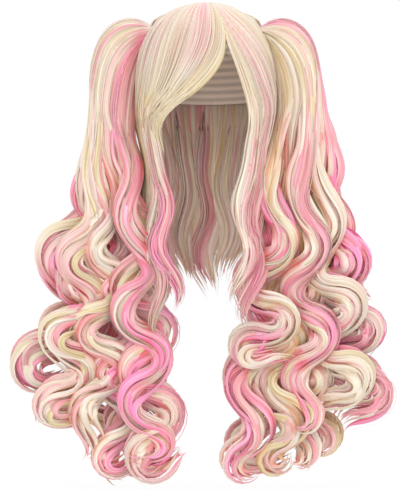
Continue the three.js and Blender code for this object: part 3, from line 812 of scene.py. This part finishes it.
class Ponytail:
    """Strands that are gathered at a clip, hang together as a trunk, and part into curls."""

    PER_LOCK = 16  # bundles in a curl
    ROLL = math.radians(40.0)
    DRIFT = 0.34  # how far bundles wander across and through their lock
    DRIFT_KNOTS = 11
    LAYER = 0.33  # bundles lie in two layers, this far from the middle of their lock
    ACROSS = 0.68  # and this far to either side of it
    INSIDE = 0.45  # half a lock, a little inside its surface
    ROUNDING = 0.7  # how far ribbons turn towards the sides of their lock
    HELD_TOGETHER = (0.9, 160.0)  # how wide locks start, and the length where they have their width
    REACH = (0.28, 0.3)  # how far loose strands lie from their bundle, across and up
    FAN_REACH = 0.05  # and in the trunk
    ROLL_LENGTHS = (60.0, 250.0)  # locks begin to roll, and roll fully
    ROLL_LAG = 0.6
    TIP_FROM = 0.93
    ROOT = (0.5, 0.1)  # how wide bundles start, and the share of their length to their full width
    IN_TRUNK = (4.2, 1.8)  # half a bundle's width and thickness
    IN_LOCK = (0.135, 0.055)  # the same, to the lock's
    PAINTED_SHADE = (0.5, 1.0)  # how much painted shade the trunk and the curls take
    TRUNK_SLEEK = 0.8
    TRUNK_OWN_PINK = 0.4  # how much of a bundle's own pink shows in the trunk
    LATEST_START = 95.0  # loose strands begin up to here along the trunk
    STRAND_LIFT = 3.5  # how far they may lie above it
    TWIST_LENGTH = 100.0  # strands turn round their bundle by its twist over this length
    CORE_START = -20.0  # the hair inside the trunk grows from here, tapers from here and ends here
    CORE_TAPER = 70.0
    CORE_END = 170.0
    CORE_SECTION = (0.26, 0.6)  # its half width and thickness, to the trunk's

    def __init__(self, rng, settings, rows, side, bands, part_from, part_to):
        self.rng = rng
        self.settings = settings
        self.rows = rows
        self.side = side
        self.part_from = part_from
        self.part_to = part_to
        size = (len(rows["width"]), self.PER_LOCK)
        layer = np.where(np.arange(self.PER_LOCK) % 2, self.LAYER, -self.LAYER)
        self.across = np.linspace(-self.ACROSS, self.ACROSS, self.PER_LOCK) + rng.uniform(-0.08, 0.08, size)
        self.up = layer + rng.uniform(-0.2, 0.2, size)
        self.swing = 1.0 + rng.normal(0.0, 0.02, size)
        self.shift = rng.normal(0.0, 5.0, size)
        self.lean = rng.normal(0.0, 0.35, size)
        self.drift = rng.uniform(-self.DRIFT, self.DRIFT, (2, *size, self.DRIFT_KNOTS))
        self.length = rng.uniform(0.955, 0.99, size)
        self.twist = rng.uniform(-0.7, 0.7, size)
        self.pink = rng.normal(0.0, 0.2, size)
        lane = rows["lane"][:, None] + self.INSIDE * rows["width"][:, None] * self.across
        front = rows["front"][:, None] + self.INSIDE * rows["thick"][:, None] * self.up
        self.facing = np.where(front > 0.0, 1.0, -1.0)
        self.fan = np.zeros(size)
        for facing in (1.0, -1.0):
            held = self.facing == facing
            bearing = np.linspace(np.pi, 0.0, held.sum())
            self.fan[held] = np.cos(bearing)[lane[held].argsort().argsort()]
        self.depth = rng.uniform(0.86, 0.98, size)
        self.stout = np.clip(np.exp(rng.normal(0.0, 0.3, size)), 0.55, 1.15)
        self.trunk_pink = np.interp(self.fan, np.linspace(-1.0, 1.0, len(bands)), bands)

    def lay(self, lock, group, around, reach, start, ends, loose_share, stations):
        """Paths, both ways round the section and the fullness for strands of these locks and bundles.

        around and reach place a strand round the middle of its bundle. loose_share is how much strands
        differ from their bundle.
        """
        rng = self.rng
        count = len(lock)
        row = columns_at(self.rows, lock.astype(float))
        swing = self.swing[lock, group] * (1.0 + loose_share * rng.normal(0.0, 0.04, count))
        shift = self.shift[lock, group] + loose_share * rng.normal(0.0, 5.0, count)
        lean = self.lean[lock, group] + loose_share * rng.normal(0.0, 0.4, count)
        total = CURL_ROOT_LENGTH + row["length"][:, 0] * self.length[lock, group] * ends
        out, drop, back, heading, length, turn = curl_path(
            row, start, total, stations, swing[:, None], shift[:, None], lean[:, None])
        full = fullness(np.clip(length / row["length"], 0.0, 1.0), *CURL_TAPER)
        spun = around[:, None] + self.twist[lock, group][:, None] * length / self.TWIST_LENGTH
        start_width, full_from = self.HELD_TOGETHER
        parted = lerp(start_width, 1.0, smoothstep(length, 0.0, full_from))
        aside, above = self.REACH
        hung = length / row["length"]
        across = self.across[lock, group][:, None] * parted + aside * reach[:, None] * np.cos(spun)
        across = across + drawn_at(self.drift[0, lock, group], hung)
        up = self.up[lock, group][:, None] + above * reach[:, None] * np.sin(spun)
        up = up + drawn_at(self.drift[1, lock, group], hung)
        roll = self.ROLL * smoothstep(length, *self.ROLL_LENGTHS) * np.sin(turn + self.ROLL_LAG)
        wide = row["width"] / 2.0 * full
        thick = row["thick"] / 2.0 * full
        off_across = wide * across * np.cos(roll) - thick * up * np.sin(roll)
        off_up = wide * across * np.sin(roll) + thick * up * np.cos(roll)

        reached = length + CURL_ROOT_LENGTH
        fan = self.fan[lock, group] + self.FAN_REACH * reach * np.cos(around)
        fan = np.clip(fan, -1.0, 1.0)[:, None]
        bearing = self.facing[lock, group][:, None] * np.arccos(fan)
        trunk_out, trunk_drop, trunk_back, trunk_heading = trunk_path(fan, reached)
        on_up = trunk_spread(reached) * self.depth[lock, group][:, None] * np.sin(bearing)

        loose = smoothstep(reached, self.part_from, self.part_to)
        held = self.placed(trunk_out, trunk_drop, trunk_back, trunk_heading, 0.0, on_up)
        nestle = NESTLE * (1.0 - smoothstep(row["lane"], *NESTLE_LANES))
        nestle = nestle * np.exp(-(((length - NESTLE_AT) / NESTLE_LENGTH) ** 2))
        free = self.placed(out - nestle, drop, back, heading, off_across, off_up)
        path = lerp(held, free, loose[..., None])

        outwards = self.directed(trunk_heading, np.cos(bearing), np.sin(bearing))
        flat = self.directed(heading, -np.sin(roll), np.cos(roll))
        edge = self.directed(heading, np.cos(roll), np.sin(roll))
        round_bundle = unit(
            edge * (np.cos(spun) / row["width"])[..., None] + flat * (np.sin(spun) / row["thick"])[..., None])
        facing = self.facing[lock, group][:, None, None]  # so that no ribbon turns over on its way
        turned = unit(facing * flat + self.ROUNDING * self.across[lock, group][:, None, None] * edge)
        return path, (outwards, turned, round_bundle, loose), full, row

    def placed(self, out, drop, back, heading, across, up):
        """Points of strands from how far out, down and back they lie, moved across and up their section."""
        return np.stack([
            self.side * (out + across * np.cos(heading)), back - up, -(drop - across * np.sin(heading)),
        ], axis=-1)

    def directed(self, heading, across, up):
        """The way across and up the section of strands with this heading."""
        return np.stack(np.broadcast_arrays(
            self.side * across * np.cos(heading), -up, across * np.sin(heading)), axis=-1)

    def bundles(self, which, stations):
        """The flat bundles of these locks."""
        lock = np.repeat(np.array(which), self.PER_LOCK)
        group = np.tile(np.arange(self.PER_LOCK), len(which))
        count = len(lock)
        nothing = np.zeros(count)
        ends = self.rng.uniform(0.95, 0.98, count)
        start = np.full(count, -ROOT_TUCK)
        path, ways, full, row = self.lay(
            lock, group, nothing, nothing, start, ends, loose_share=0.0, stations=stations)
        outwards, flat, _, loose = ways
        along = np.linspace(0.0, 1.0, stations)
        tip = np.sqrt(1.0 - smoothstep(along, self.TIP_FROM, 1.0))
        root = lerp(self.ROOT[0], 1.0, smoothstep(along, 0.0, self.ROOT[1]))
        stout = self.stout[lock, group][:, None]
        half_width = stout * lerp(self.IN_TRUNK[0], self.IN_LOCK[0] * row["width"] * full, loose) * tip * root
        half_thick = lerp(self.IN_TRUNK[1], self.IN_LOCK[1] * row["thick"] * full, loose) * tip * root
        return bundles(self.rng, self.settings, path, unit(lerp(outwards, flat, loose[..., None])),
                       half_width, half_thick, self.dye(lock, group, row, loose), lerp(*self.PAINTED_SHADE, loose),
                       self.TRUNK_SLEEK * (1.0 - loose))

    def dye(self, lock, group, row, loose):
        """How pink strands are: by their place in the trunk, and further down by their lock."""
        own = self.pink[lock, group][:, None]
        in_trunk = self.trunk_pink[lock, group][:, None] + self.TRUNK_OWN_PINK * own
        return lerp(in_trunk, row["pink"] + own, loose)

    def strands(self, which, per_lock, stations, width):
        """Loose strands round the bundles of these locks."""
        rng = self.rng
        lock = np.repeat(np.array(which), per_lock)
        count = len(lock)
        group = rng.integers(0, self.PER_LOCK, count)
        around = rng.uniform(0.0, 2.0 * np.pi, count)
        reach = rng.uniform(0.75, 1.05, count)
        ends = rng.uniform(0.8, 0.98, count)
        start = rng.uniform(-ROOT_TUCK, self.LATEST_START, count)
        path, ways, _, row = self.lay(
            lock, group, around, reach, start, ends, loose_share=0.6, stations=stations)
        outwards, _, round_bundle, loose = ways
        lift = rng.uniform(0.0, self.STRAND_LIFT, (count, 1, 1))
        path = path + outwards * (1.0 - loose[..., None]) * lift
        return loose_strands(rng, self.settings, path, unit(lerp(outwards, round_bundle, loose[..., None])),
                             width, self.dye(lock, group, row, loose), lerp(*self.PAINTED_SHADE, loose))

    def trunk_core(self):
        """The gathered hair inside the trunk."""
        length = np.linspace(-ROOT_TUCK, self.CORE_END, 22)[None, :]
        out, drop, back, heading = trunk_path(np.zeros((1, 1)), length)
        path = self.placed(out, drop, back, heading, 0.0, 0.0)
        full = np.sqrt(1.0 - smoothstep(length, self.CORE_TAPER, self.CORE_END))
        full = full * smoothstep(length, self.CORE_START, LAUNCH_LENGTH)
        wide, thick = self.CORE_SECTION
        facing = np.broadcast_to(FORWARD, path.shape)
        return bundles(self.rng, self.settings, path, facing, wide * TRUNK_WIDTH * full,
                       thick * trunk_spread(length) * full, pink=0.4)


# Painted shade between the locks

CELL = 6.0  # the side of the cells in which hair is counted
CELL_FULL = 2.0  # samples that fill a cell
PROBE = 13.0  # how far outside its surface a strand looks for other hair, which paints shade on it
FILL_OPEN = 0.15  # how full cells are round open hair, with no painted shade, and round deep hair, with full painted shade
FILL_DEEP = 0.75
SHADE_POWER = 1.4  # the power that makes a strand's own colour darker and more saturated in the painted shade
VOLUME_LOW = np.array([-330.0, -180.0, -760.0])
VOLUME_HIGH = np.array([330.0, 180.0, 40.0])


class HairVolume:
    """How much hair there is round a point, from the tables of locks."""

    CURLS_FROM = 60.0  # along the strands
    TRUNK_TO = 230.0

    def __init__(self):
        cells = np.ceil((VOLUME_HIGH - VOLUME_LOW) / CELL).astype(int)
        amount = np.zeros(cells)
        for points in self.samples():
            places = ((points.reshape(-1, 3) - VOLUME_LOW) / CELL).astype(int)
            np.add.at(amount, tuple(places.T), 1.0)
        amount = np.minimum(amount / CELL_FULL, 1.0)
        for axis in range(3):
            amount = (np.roll(amount, 1, axis) + amount + np.roll(amount, -1, axis)) / 3.0
        self.amount = amount

    def samples(self):
        spread = [(a, u) for a in (-0.8, -0.4, 0.0, 0.4, 0.8) for u in (-0.6, 0.0, 0.6)]
        for rows in (FRINGE, SIDE_HAIR_RIGHT, SIDE_HAIR_LEFT, BACK_HAIR):
            row = columns_at(rows, np.arange(len(rows["width"]), dtype=float))
            drop = even_drops(row["root_drop"][:, 0], row["hem_drop"][:, 0], stations=150)
            for across, up in spread:
                yield crown_path(row, drop, across, np.full_like(drop, up))[0]
        for rows, side in ((PONYTAIL_RIGHT, RIGHT), (PONYTAIL_LEFT, LEFT)):
            row = columns_at(rows, np.arange(len(rows["width"]), dtype=float))
            start = np.full(len(row["lane"]), self.CURLS_FROM)
            out, drop, back, heading, length, _ = curl_path(
                row, start, CURL_ROOT_LENGTH + row["length"][:, 0], stations=240)
            full = fullness(np.clip(length / row["length"], 0.0, 1.0))
            middle = np.stack([side * out, back, -drop], axis=-1)
            aside = np.stack([side * np.cos(heading), np.zeros_like(heading), np.sin(heading)], axis=-1)
            for across, up in spread:
                yield (middle + aside * (across * full * row["width"] / 2.0)[..., None]
                       + FORWARD * (up * full * row["thick"] / 2.0)[..., None])
            length = np.linspace(0.0, self.TRUNK_TO, 80)
            for across, up in spread:
                out, drop, back, _ = trunk_path(np.full(1, across), length)
                yield np.stack([side * out, back - up * trunk_spread(length), -drop], axis=-1)

    def shade(self, points):
        """The share of painted shade, from 0 where hair is open to 1 where it lies deep between locks."""
        places = np.clip((points - VOLUME_LOW) / CELL - 0.5, 0.0, np.array(self.amount.shape) - 1.01)
        below = places.astype(int)
        part = places - below
        amount = 0.0
        for corner in np.ndindex(2, 2, 2):
            share = np.prod(np.where(corner, part, 1.0 - part), axis=-1)
            amount = amount + share * self.amount[tuple(np.moveaxis(below + corner, -1, 0))]
        return smoothstep(amount, FILL_OPEN, FILL_DEEP)


@functools.cache
def hair_volume():
    """The one volume of hair, made when it is first asked for."""
    return HairVolume()


# Materials

def new_material(name):
    material = bpy.data.materials.new(name)
    material.use_nodes = True
    material.node_tree.nodes.clear()
    return material, material.node_tree


def add_node(tree, kind, inputs=(), **properties):
    """A node with its properties set, and its inputs given values or linked to other nodes' outputs."""
    node = tree.nodes.new(kind)
    for name, value in properties.items():
        setattr(node, name, value)
    for name, value in dict(inputs).items():
        if isinstance(value, bpy.types.NodeSocket):
            tree.links.new(value, node.inputs[name])
        else:
            node.inputs[name].default_value = value
    return node


def remapped(tree, value, to_min, to_max, from_min=0.0, from_max=1.0, **properties):
    """A value spread from one range over another."""
    inputs = {
        "Value": value, "From Min": from_min, "From Max": from_max, "To Min": to_min, "To Max": to_max,
    }
    return add_node(tree, "ShaderNodeMapRange", inputs, **properties).outputs["Result"]


def shaded(tree, colour, shade):
    """A colour made darker or lighter by a value."""
    inputs = {"Factor": 1.0, "A": colour, "B": shade}
    mix = add_node(tree, "ShaderNodeMix", inputs, data_type="RGBA", blend_type="MULTIPLY")
    return mix.outputs["Result"]


def bumped(tree, height, strength, distance):
    """The surface's normal, with a fine relief."""
    inputs = {"Height": height, "Strength": strength, "Distance": distance}
    return add_node(tree, "ShaderNodeBump", inputs).outputs["Normal"]


def add_surface(tree, inputs):
    """The material's surface, with these inputs of its shader."""
    shader = add_node(tree, "ShaderNodeBsdfPrincipled", inputs)
    add_node(tree, "ShaderNodeOutputMaterial", {"Surface": shader.outputs["BSDF"]})


def streaks(tree, strand, across, along):
    """Noise drawn out along the strands, with so many streaks to a metre each way."""
    stretch = add_node(tree, "ShaderNodeMapping", {"Vector": strand, "Scale": (across, along, 1.0)})
    inputs = {"Vector": stretch.outputs["Vector"], "Scale": 1.0, "Detail": 4.0, "Roughness": 0.65}
    return add_node(tree, "ShaderNodeTexNoise", inputs, noise_dimensions="2D").outputs["Fac"]


def hair_material(name, settings):
    """Silky hair: the strand's tint, its own colour with painted shade, and fine streaks along it."""
    material, tree = new_material(name)
    tint = add_node(tree, "ShaderNodeAttribute", attribute_name=TINT).outputs["Color"]
    strand = add_node(tree, "ShaderNodeUVMap", uv_map=STRAND_UV).outputs["UV"]
    fine = streaks(tree, strand, across=380.0, along=5.0)
    broad = streaks(tree, strand, across=190.0, along=5.0)
    strength = remapped(tree, broad, to_min=1.45, to_max=0.72, from_min=0.35, from_max=0.65)
    streaked_tint = add_node(tree, "ShaderNodeGamma", {"Color": tint, "Gamma": strength}).outputs["Color"]
    shade = remapped(tree, fine, to_min=0.79, to_max=1.12, from_min=0.34, from_max=0.66)
    add_surface(tree, {
        "Base Color": shaded(tree, streaked_tint, shade),
        "Roughness": remapped(tree, fine, settings.roughness - 0.08, settings.roughness + 0.12),
        "Specular IOR Level": 0.42,
        "Sheen Weight": 0.32,
        "Sheen Roughness": 0.4,
        "Normal": bumped(tree, fine, strength=0.6, distance=0.0009),
    })
    return material


def lining_material(settings):
    """The cap's lining: fine net between rows of sewn hair."""
    material, tree = new_material("cap_lining")
    place = add_node(tree, "ShaderNodeTexCoord").outputs["Object"]
    row_scale = math.pi / (10.0 * settings.weft)
    rows = add_node(
        tree, "ShaderNodeTexWave", {"Vector": place, "Scale": row_scale, "Distortion": 0.4, "Detail": 1.0},
        wave_type="BANDS", bands_direction="Z", wave_profile="SIN")
    net = add_node(
        tree, "ShaderNodeTexVoronoi", {"Vector": place, "Scale": 650.0}, feature="DISTANCE_TO_EDGE")
    row_tone = remapped(tree, rows.outputs["Fac"], 0.72, 1.08)
    net_tone = remapped(tree, net.outputs["Distance"], to_min=1.05, to_max=0.86, from_max=0.25)
    both = add_node(tree, "ShaderNodeMath", {0: row_tone, 1: net_tone}, operation="MULTIPLY")
    tone = both.outputs["Value"]
    add_surface(tree, {
        "Base Color": shaded(tree, (*settings.lining, 1.0), tone),
        "Roughness": 0.85,
        "Specular IOR Level": 0.2,
        "Normal": bumped(tree, tone, strength=0.5, distance=0.0006),
    })
    return material


def clip_material(settings):
    """Matte moulded plastic with a fine grain."""
    material, tree = new_material("clip_plastic")
    place = add_node(tree, "ShaderNodeTexCoord").outputs["Object"]
    inputs = {"Vector": place, "Scale": 900.0, "Detail": 4.0}
    grain = add_node(tree, "ShaderNodeTexNoise", inputs).outputs["Fac"]
    add_surface(tree, {
        "Base Color": shaded(tree, (*settings.clip, 1.0), remapped(tree, grain, 0.9, 1.05)),
        "Roughness": remapped(tree, grain, 0.45, 0.65),
        "Normal": bumped(tree, grain, strength=0.2, distance=0.0003),
    })
    return material


def floor_material():
    """White paper that fades into the light round it."""
    material, tree = new_material("studio_floor")
    paper = add_node(tree, "ShaderNodeBsdfDiffuse", {"Color": (0.93, 0.93, 0.93, 1.0)})
    glow = add_node(tree, "ShaderNodeEmission")
    place = add_node(tree, "ShaderNodeTexCoord").outputs["Object"]
    apart = add_node(tree, "ShaderNodeVectorMath", {0: place}, operation="LENGTH").outputs["Value"]
    fade = remapped(
        tree, apart, to_min=0.75, to_max=1.0, from_min=0.5, from_max=2.2, interpolation_type="SMOOTHSTEP")
    inputs = {"Fac": fade, 1: paper.outputs["BSDF"], 2: glow.outputs["Emission"]}
    mix = add_node(tree, "ShaderNodeMixShader", inputs)
    add_node(tree, "ShaderNodeOutputMaterial", {"Surface": mix.outputs["Shader"]})
    return material


# Pieces

def settle(piece, slot, *nodes):
    """Makes a piece ride on the wig and hides the solids that it stands for."""
    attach(piece, BODY)
    if nodes:
        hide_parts(*nodes)
    return piece


CAP_ROUND = 72
CAP_RINGS = 40
CAP_INSET = 2.0
CAP_EASE = 1.6  # how much closer the rings lie at the top


def finished_mesh(name, bm, material):
    """An object of a shape that is done, with its material."""
    mesh = bpy.data.meshes.new(name)
    bm.to_mesh(mesh)
    bm.free()
    mesh.materials.append(material)
    return add_object(name, mesh)


def cap_rim(azimuth):
    """How far the cap comes down at an azimuth: round the arch of the face, or to the rim."""
    x = (CROWN_HALF_WIDTH - CAP_INSET) * abs(math.sin(azimuth))
    y = -CROWN_HALF_DEPTH * math.cos(azimuth)
    if y > FACE_BACK or x > FACE_HALF_WIDTH:
        return CROWN_RIM_DROP
    rise = 1.0 - math.sqrt(max(0.0, 1.0 - (x / FACE_HALF_WIDTH) ** 2))
    return HAIRLINE_DROP + FACE_ARCH * rise


def make_cap(lining):
    """The cap's closed wall, a dome open at the face and below."""
    bm = bmesh.new()
    bmesh.ops.create_uvsphere(bm, u_segments=CAP_ROUND, v_segments=2 * CAP_RINGS, radius=1.0)
    bmesh.ops.bisect_plane(
        bm, geom=bm.verts[:] + bm.edges[:] + bm.faces[:], plane_co=(0, 0, 0), plane_no=(0, 0, -1),
        clear_outer=True)
    for vertex in bm.verts:
        azimuth = math.atan2(vertex.co.x, -vertex.co.y)
        down = math.acos(max(-1.0, min(1.0, vertex.co.z))) / (math.pi / 2.0)
        drop = lerp(-CROWN_TOP + CAP_INSET, cap_rim(azimuth), down**CAP_EASE)
        share = float(dome_share(drop - CAP_INSET)) if down > 0 else 0.0
        vertex.co = Vector((
            (CROWN_HALF_WIDTH - CAP_INSET) * share * math.sin(azimuth),
            -(CROWN_HALF_DEPTH - CAP_INSET) * share * math.cos(azimuth),
            -drop,
        )) * MM
    bmesh.ops.recalc_face_normals(bm, faces=bm.faces[:])
    wall = (1.0 - CROWN_HOLLOW) * CROWN_HALF_WIDTH - CAP_INSET
    bmesh.ops.solidify(bm, geom=bm.faces[:], thickness=wall * MM)
    for face in bm.faces:
        face.smooth = True
    return finished_mesh("crown_cap", bm, lining)


UNDER_ROOT_DROP = 0.001 - CROWN_TOP  # just below the very top

# Hair that lies on the cap, under the fringe, the side hair and the back hair.
CROWN_RIGHT_HAIR = table(CROWN_COLUMNS, [
    [root_az, UNDER_ROOT_DROP, rest_az, CROWN_RIM_DROP, 1, rest_az, hem_drop, 0, 130, 0, 40, 5, pink]
    for root_az, rest_az, hem_drop, pink in (
        (6, -36, 40, 0.20),
        (-26, -60, 126, 0.22),
        (-60, -90, 126, 0.22),
        (-100, -120, 126, 0.30),
        (-140, -150, 126, 0.35),
        (-176, -180, 126, 0.25),
    )
])
CROWN_LEFT_HAIR = dict(CROWN_RIGHT_HAIR)
for turned_column in ("root_az", "rest_az", "hem_az"):
    CROWN_LEFT_HAIR[turned_column] = -CROWN_RIGHT_HAIR[turned_column]


class WIG_OT_crown(bpy.types.Operator):
    """Makes the cap and the hair that lies on it"""

    bl_idname = "wig.crown"
    bl_label = "Crown"

    def execute(self, context):
        hair = context.scene.wig_hair
        cap = make_cap(lining_material(context.scene.wig_cap))
        settle(cap, "crown_hair", "crown")
        rng = np.random.default_rng(seed=11)
        groups = []
        for rows in (CROWN_RIGHT_HAIR, CROWN_LEFT_HAIR):
            under = CrownHair(rng, hair, rows)
            groups += [under.bundles(stations=20), under.strands(per_lock=16, stations=20, width=0.5)]
        piece = joined_mesh("crown_strands", groups, hair_material("crown_hair", hair), rng)
        settle(piece, "crown_hair")
        return {"FINISHED"}


class WIG_OT_fringe(bpy.types.Operator):
    """Makes the side-swept fringe"""

    bl_idname = "wig.fringe"
    bl_label = "Fringe"

    def execute(self, context):
        hair = context.scene.wig_hair
        rng = np.random.default_rng(seed=12)
        fringe = CrownHair(rng, hair, FRINGE, TOP_START, fade=(1.15, 0.25, 55.0, 150.0))
        groups = [fringe.bundles(stations=40), fringe.strands(per_lock=44, stations=36, width=0.5)]
        piece = joined_mesh("fringe_strands", groups, hair_material("fringe_hair", hair), rng)
        settle(piece, "fringe_hair", "fringe")
        return {"FINISHED"}


class WIG_OT_side_hair(bpy.types.Operator):
    """Makes the wavy hair on both sides of the face"""

    bl_idname = "wig.side_hair"
    bl_label = "Side hair"

    def execute(self, context):
        hair = context.scene.wig_hair
        material = hair_material("side_hair", hair)
        for name, node, rows, from_top, above, seed in (
            ("side_strands_right", "side_lock_right", SIDE_HAIR_RIGHT, 0.4, 0.3, 13),
            ("side_strands_left", "side_lock_left", SIDE_HAIR_LEFT, TOP_START, 0.8, 14),
        ):
            rng = np.random.default_rng(seed)
            locks = CrownHair(rng, hair, rows, from_top, fade=(above, 1.0, 150.0, 290.0))
            groups = [locks.bundles(stations=54), locks.strands(per_lock=28, stations=50, width=0.5)]
            settle(joined_mesh(name, groups, material, rng), "side_hair", node)
        return {"FINISHED"}


class WIG_OT_back_hair(bpy.types.Operator):
    """Makes the wavy hair behind the neck"""

    bl_idname = "wig.back_hair"
    bl_label = "Back hair"

    def execute(self, context):
        hair = context.scene.wig_hair
        rng = np.random.default_rng(seed=15)
        locks = CrownHair(rng, hair, BACK_HAIR, TOP_START)
        groups = [locks.bundles(stations=48), locks.strands(per_lock=18, stations=44, width=0.5)]
        piece = joined_mesh("back_strands", groups, hair_material("back_hair", hair), rng)
        settle(piece, "back_hair", "back_hair")
        return {"FINISHED"}


class WIG_OT_ponytails(bpy.types.Operator):
    """Makes the curly ponytails, each as its outer and its inner curls"""

    bl_idname = "wig.ponytails"
    bl_label = "Ponytails"

    def execute(self, context):
        hair = context.scene.wig_hair
        material = hair_material("ponytail_hair", hair)
        for name, rows, side, bands, part_from, part_to, seed in (
            ("ponytail_right", PONYTAIL_RIGHT, RIGHT, TRUNK_BANDS_RIGHT, 125.0, 260.0, 16),
            ("ponytail_left", PONYTAIL_LEFT, LEFT, TRUNK_BANDS_LEFT, 75.0, 235.0, 17),
        ):
            rng = np.random.default_rng(seed)
            ponytail = Ponytail(rng, hair, rows, side, bands, part_from, part_to)
            for part, which in (("outer", range(0, 6)), ("inner", range(6, 12))):
                groups = [
                    ponytail.bundles(which, stations=104),
                    ponytail.strands(which, per_lock=12, stations=84, width=0.5),
                ]
                if part == "inner":
                    groups.append(ponytail.trunk_core())
                piece = joined_mesh(f"{name}_{part}_curls", groups, material, rng)
                settle(piece, "ponytail_hair", name)
        return {"FINISHED"}


class WIG_OT_clips(bpy.types.Operator):
    """Gives the ponytails' clips their plastic"""

    bl_idname = "wig.clips"
    bl_label = "Clips"

    def execute(self, context):
        plastic = clip_material(context.scene.wig_cap)
        for node in ("clip_right", "clip_left"):
            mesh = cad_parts[node].data
            mesh.materials.clear()
            mesh.materials.append(plastic)
        return {"FINISHED"}


VIEW_X = -8.7 * MM  # the middle of the picture, at the wig
VIEW_Z = -339.3 * MM
SENSOR = 36.0
FLOOR_RADIUS = 30.0
VIEW_MIDDLE = (VIEW_X, 0.0, VIEW_Z)
FRONT_LIGHT_RISE = 0.1  # above the camera
LIT_ALL_ROUND = 1.1  # the light from all round, and how bright it is to the camera
SEEN_ALL_ROUND = 1.0


def make_floor(stage):
    """A wide round floor under the lowest curls."""
    bm = bmesh.new()
    bmesh.ops.create_circle(bm, cap_ends=True, segments=96, radius=FLOOR_RADIUS)
    bmesh.ops.translate(bm, verts=bm.verts[:], vec=(0, 0, CAD_BOX[0].z - stage.floor_gap))
    return finished_mesh("studio_floor", bm, floor_material())


def add_area_light(name, place, size, power):
    """A round soft light that shines on the middle of the wig."""
    data = bpy.data.lights.new(name, "AREA")
    data.shape = "DISK"
    data.size = size
    data.energy = power
    light = add_object(name, data)
    light.location = place
    light.rotation_euler = (Vector(VIEW_MIDDLE) - Vector(place)).to_track_quat("-Z", "Y").to_euler()


def studio_light():
    """Even light from all round."""
    world = bpy.data.worlds.new("studio_light")
    world.use_nodes = True
    tree = world.node_tree
    tree.nodes.clear()
    seen = add_node(tree, "ShaderNodeLightPath").outputs["Is Camera Ray"]
    strength = remapped(tree, seen, LIT_ALL_ROUND, SEEN_ALL_ROUND)
    sky = add_node(tree, "ShaderNodeBackground", {"Color": (1.0, 1.0, 1.0, 1.0), "Strength": strength})
    add_node(tree, "ShaderNodeOutputWorld", {"Surface": sky.outputs["Background"]})
    return world


def add_camera(stage):
    """A level camera in front of the wig."""
    data = bpy.data.cameras.new("camera")
    data.sensor_fit = "VERTICAL"
    data.sensor_height = SENSOR
    data.lens = SENSOR * stage.camera_distance / stage.view_height
    camera = add_object("camera", data)
    camera.location = (VIEW_X, -stage.camera_distance, VIEW_Z)
    camera.rotation_euler = (math.pi / 2.0, 0.0, 0.0)
    return camera


class WIG_OT_stage(bpy.types.Operator):
    """Makes the floor, the lights and the camera"""

    bl_idname = "wig.stage"
    bl_label = "Stage"

    def execute(self, context):
        stage = context.scene.wig_stage
        floor = make_floor(stage)
        by_camera = (VIEW_X, -stage.camera_distance, VIEW_Z + FRONT_LIGHT_RISE)
        for name, place, size, share in (
            ("key", (-0.4, -2.4, 1.0), 1.8, 1.0),
            ("fill", (1.6, -1.8, 0.2), 1.6, 0.35),
            ("front", by_camera, 1.2, 1.0),
            ("back", (0.4, 2.2, 1.2), 1.8, 0.5),
        ):
            add_area_light(name, place, size, share * stage.key_power)
        context.scene.world = studio_light()
        context.scene.view_settings.view_transform = "Standard"
        context.scene.camera = add_camera(stage)
        return {"FINISHED"}


class WIG_PT_pieces(bpy.types.Panel):
    """Lists the wig's pieces"""

    bl_idname = "WIG_PT_pieces"
    bl_label = "Long curly wig"
    bl_space_type = "VIEW_3D"
    bl_region_type = "UI"
    bl_category = "Wig"

    def draw(self, context):
        for settings in (context.scene.wig_hair, context.scene.wig_cap, context.scene.wig_stage):
            for name in settings.__annotations__:
                self.layout.prop(settings, name)
        for operator in OPERATORS:
            self.layout.operator(operator.bl_idname)


OPERATORS = (
    WIG_OT_crown, WIG_OT_fringe, WIG_OT_side_hair, WIG_OT_back_hair, WIG_OT_ponytails, WIG_OT_clips,
    WIG_OT_stage,
)
CLASSES = (WigHairSettings, WigCapSettings, WigStageSettings, *OPERATORS, WIG_PT_pieces)


def register():
    for cls in CLASSES:
        bpy.utils.register_class(cls)
    bpy.types.Scene.wig_hair = bpy.props.PointerProperty(type=WigHairSettings)
    bpy.types.Scene.wig_cap = bpy.props.PointerProperty(type=WigCapSettings)
    bpy.types.Scene.wig_stage = bpy.props.PointerProperty(type=WigStageSettings)


def unregister():
    del bpy.types.Scene.wig_stage
    del bpy.types.Scene.wig_cap
    del bpy.types.Scene.wig_hair
    for cls in reversed(CLASSES):
        bpy.utils.unregister_class(cls)


def main():
    register()
    bpy.ops.wig.crown()
    bpy.ops.wig.fringe()
    bpy.ops.wig.side_hair()
    bpy.ops.wig.back_hair()
    bpy.ops.wig.ponytails()
    bpy.ops.wig.clips()
    bpy.ops.wig.stage()


if __name__ == "__main__":
    main()
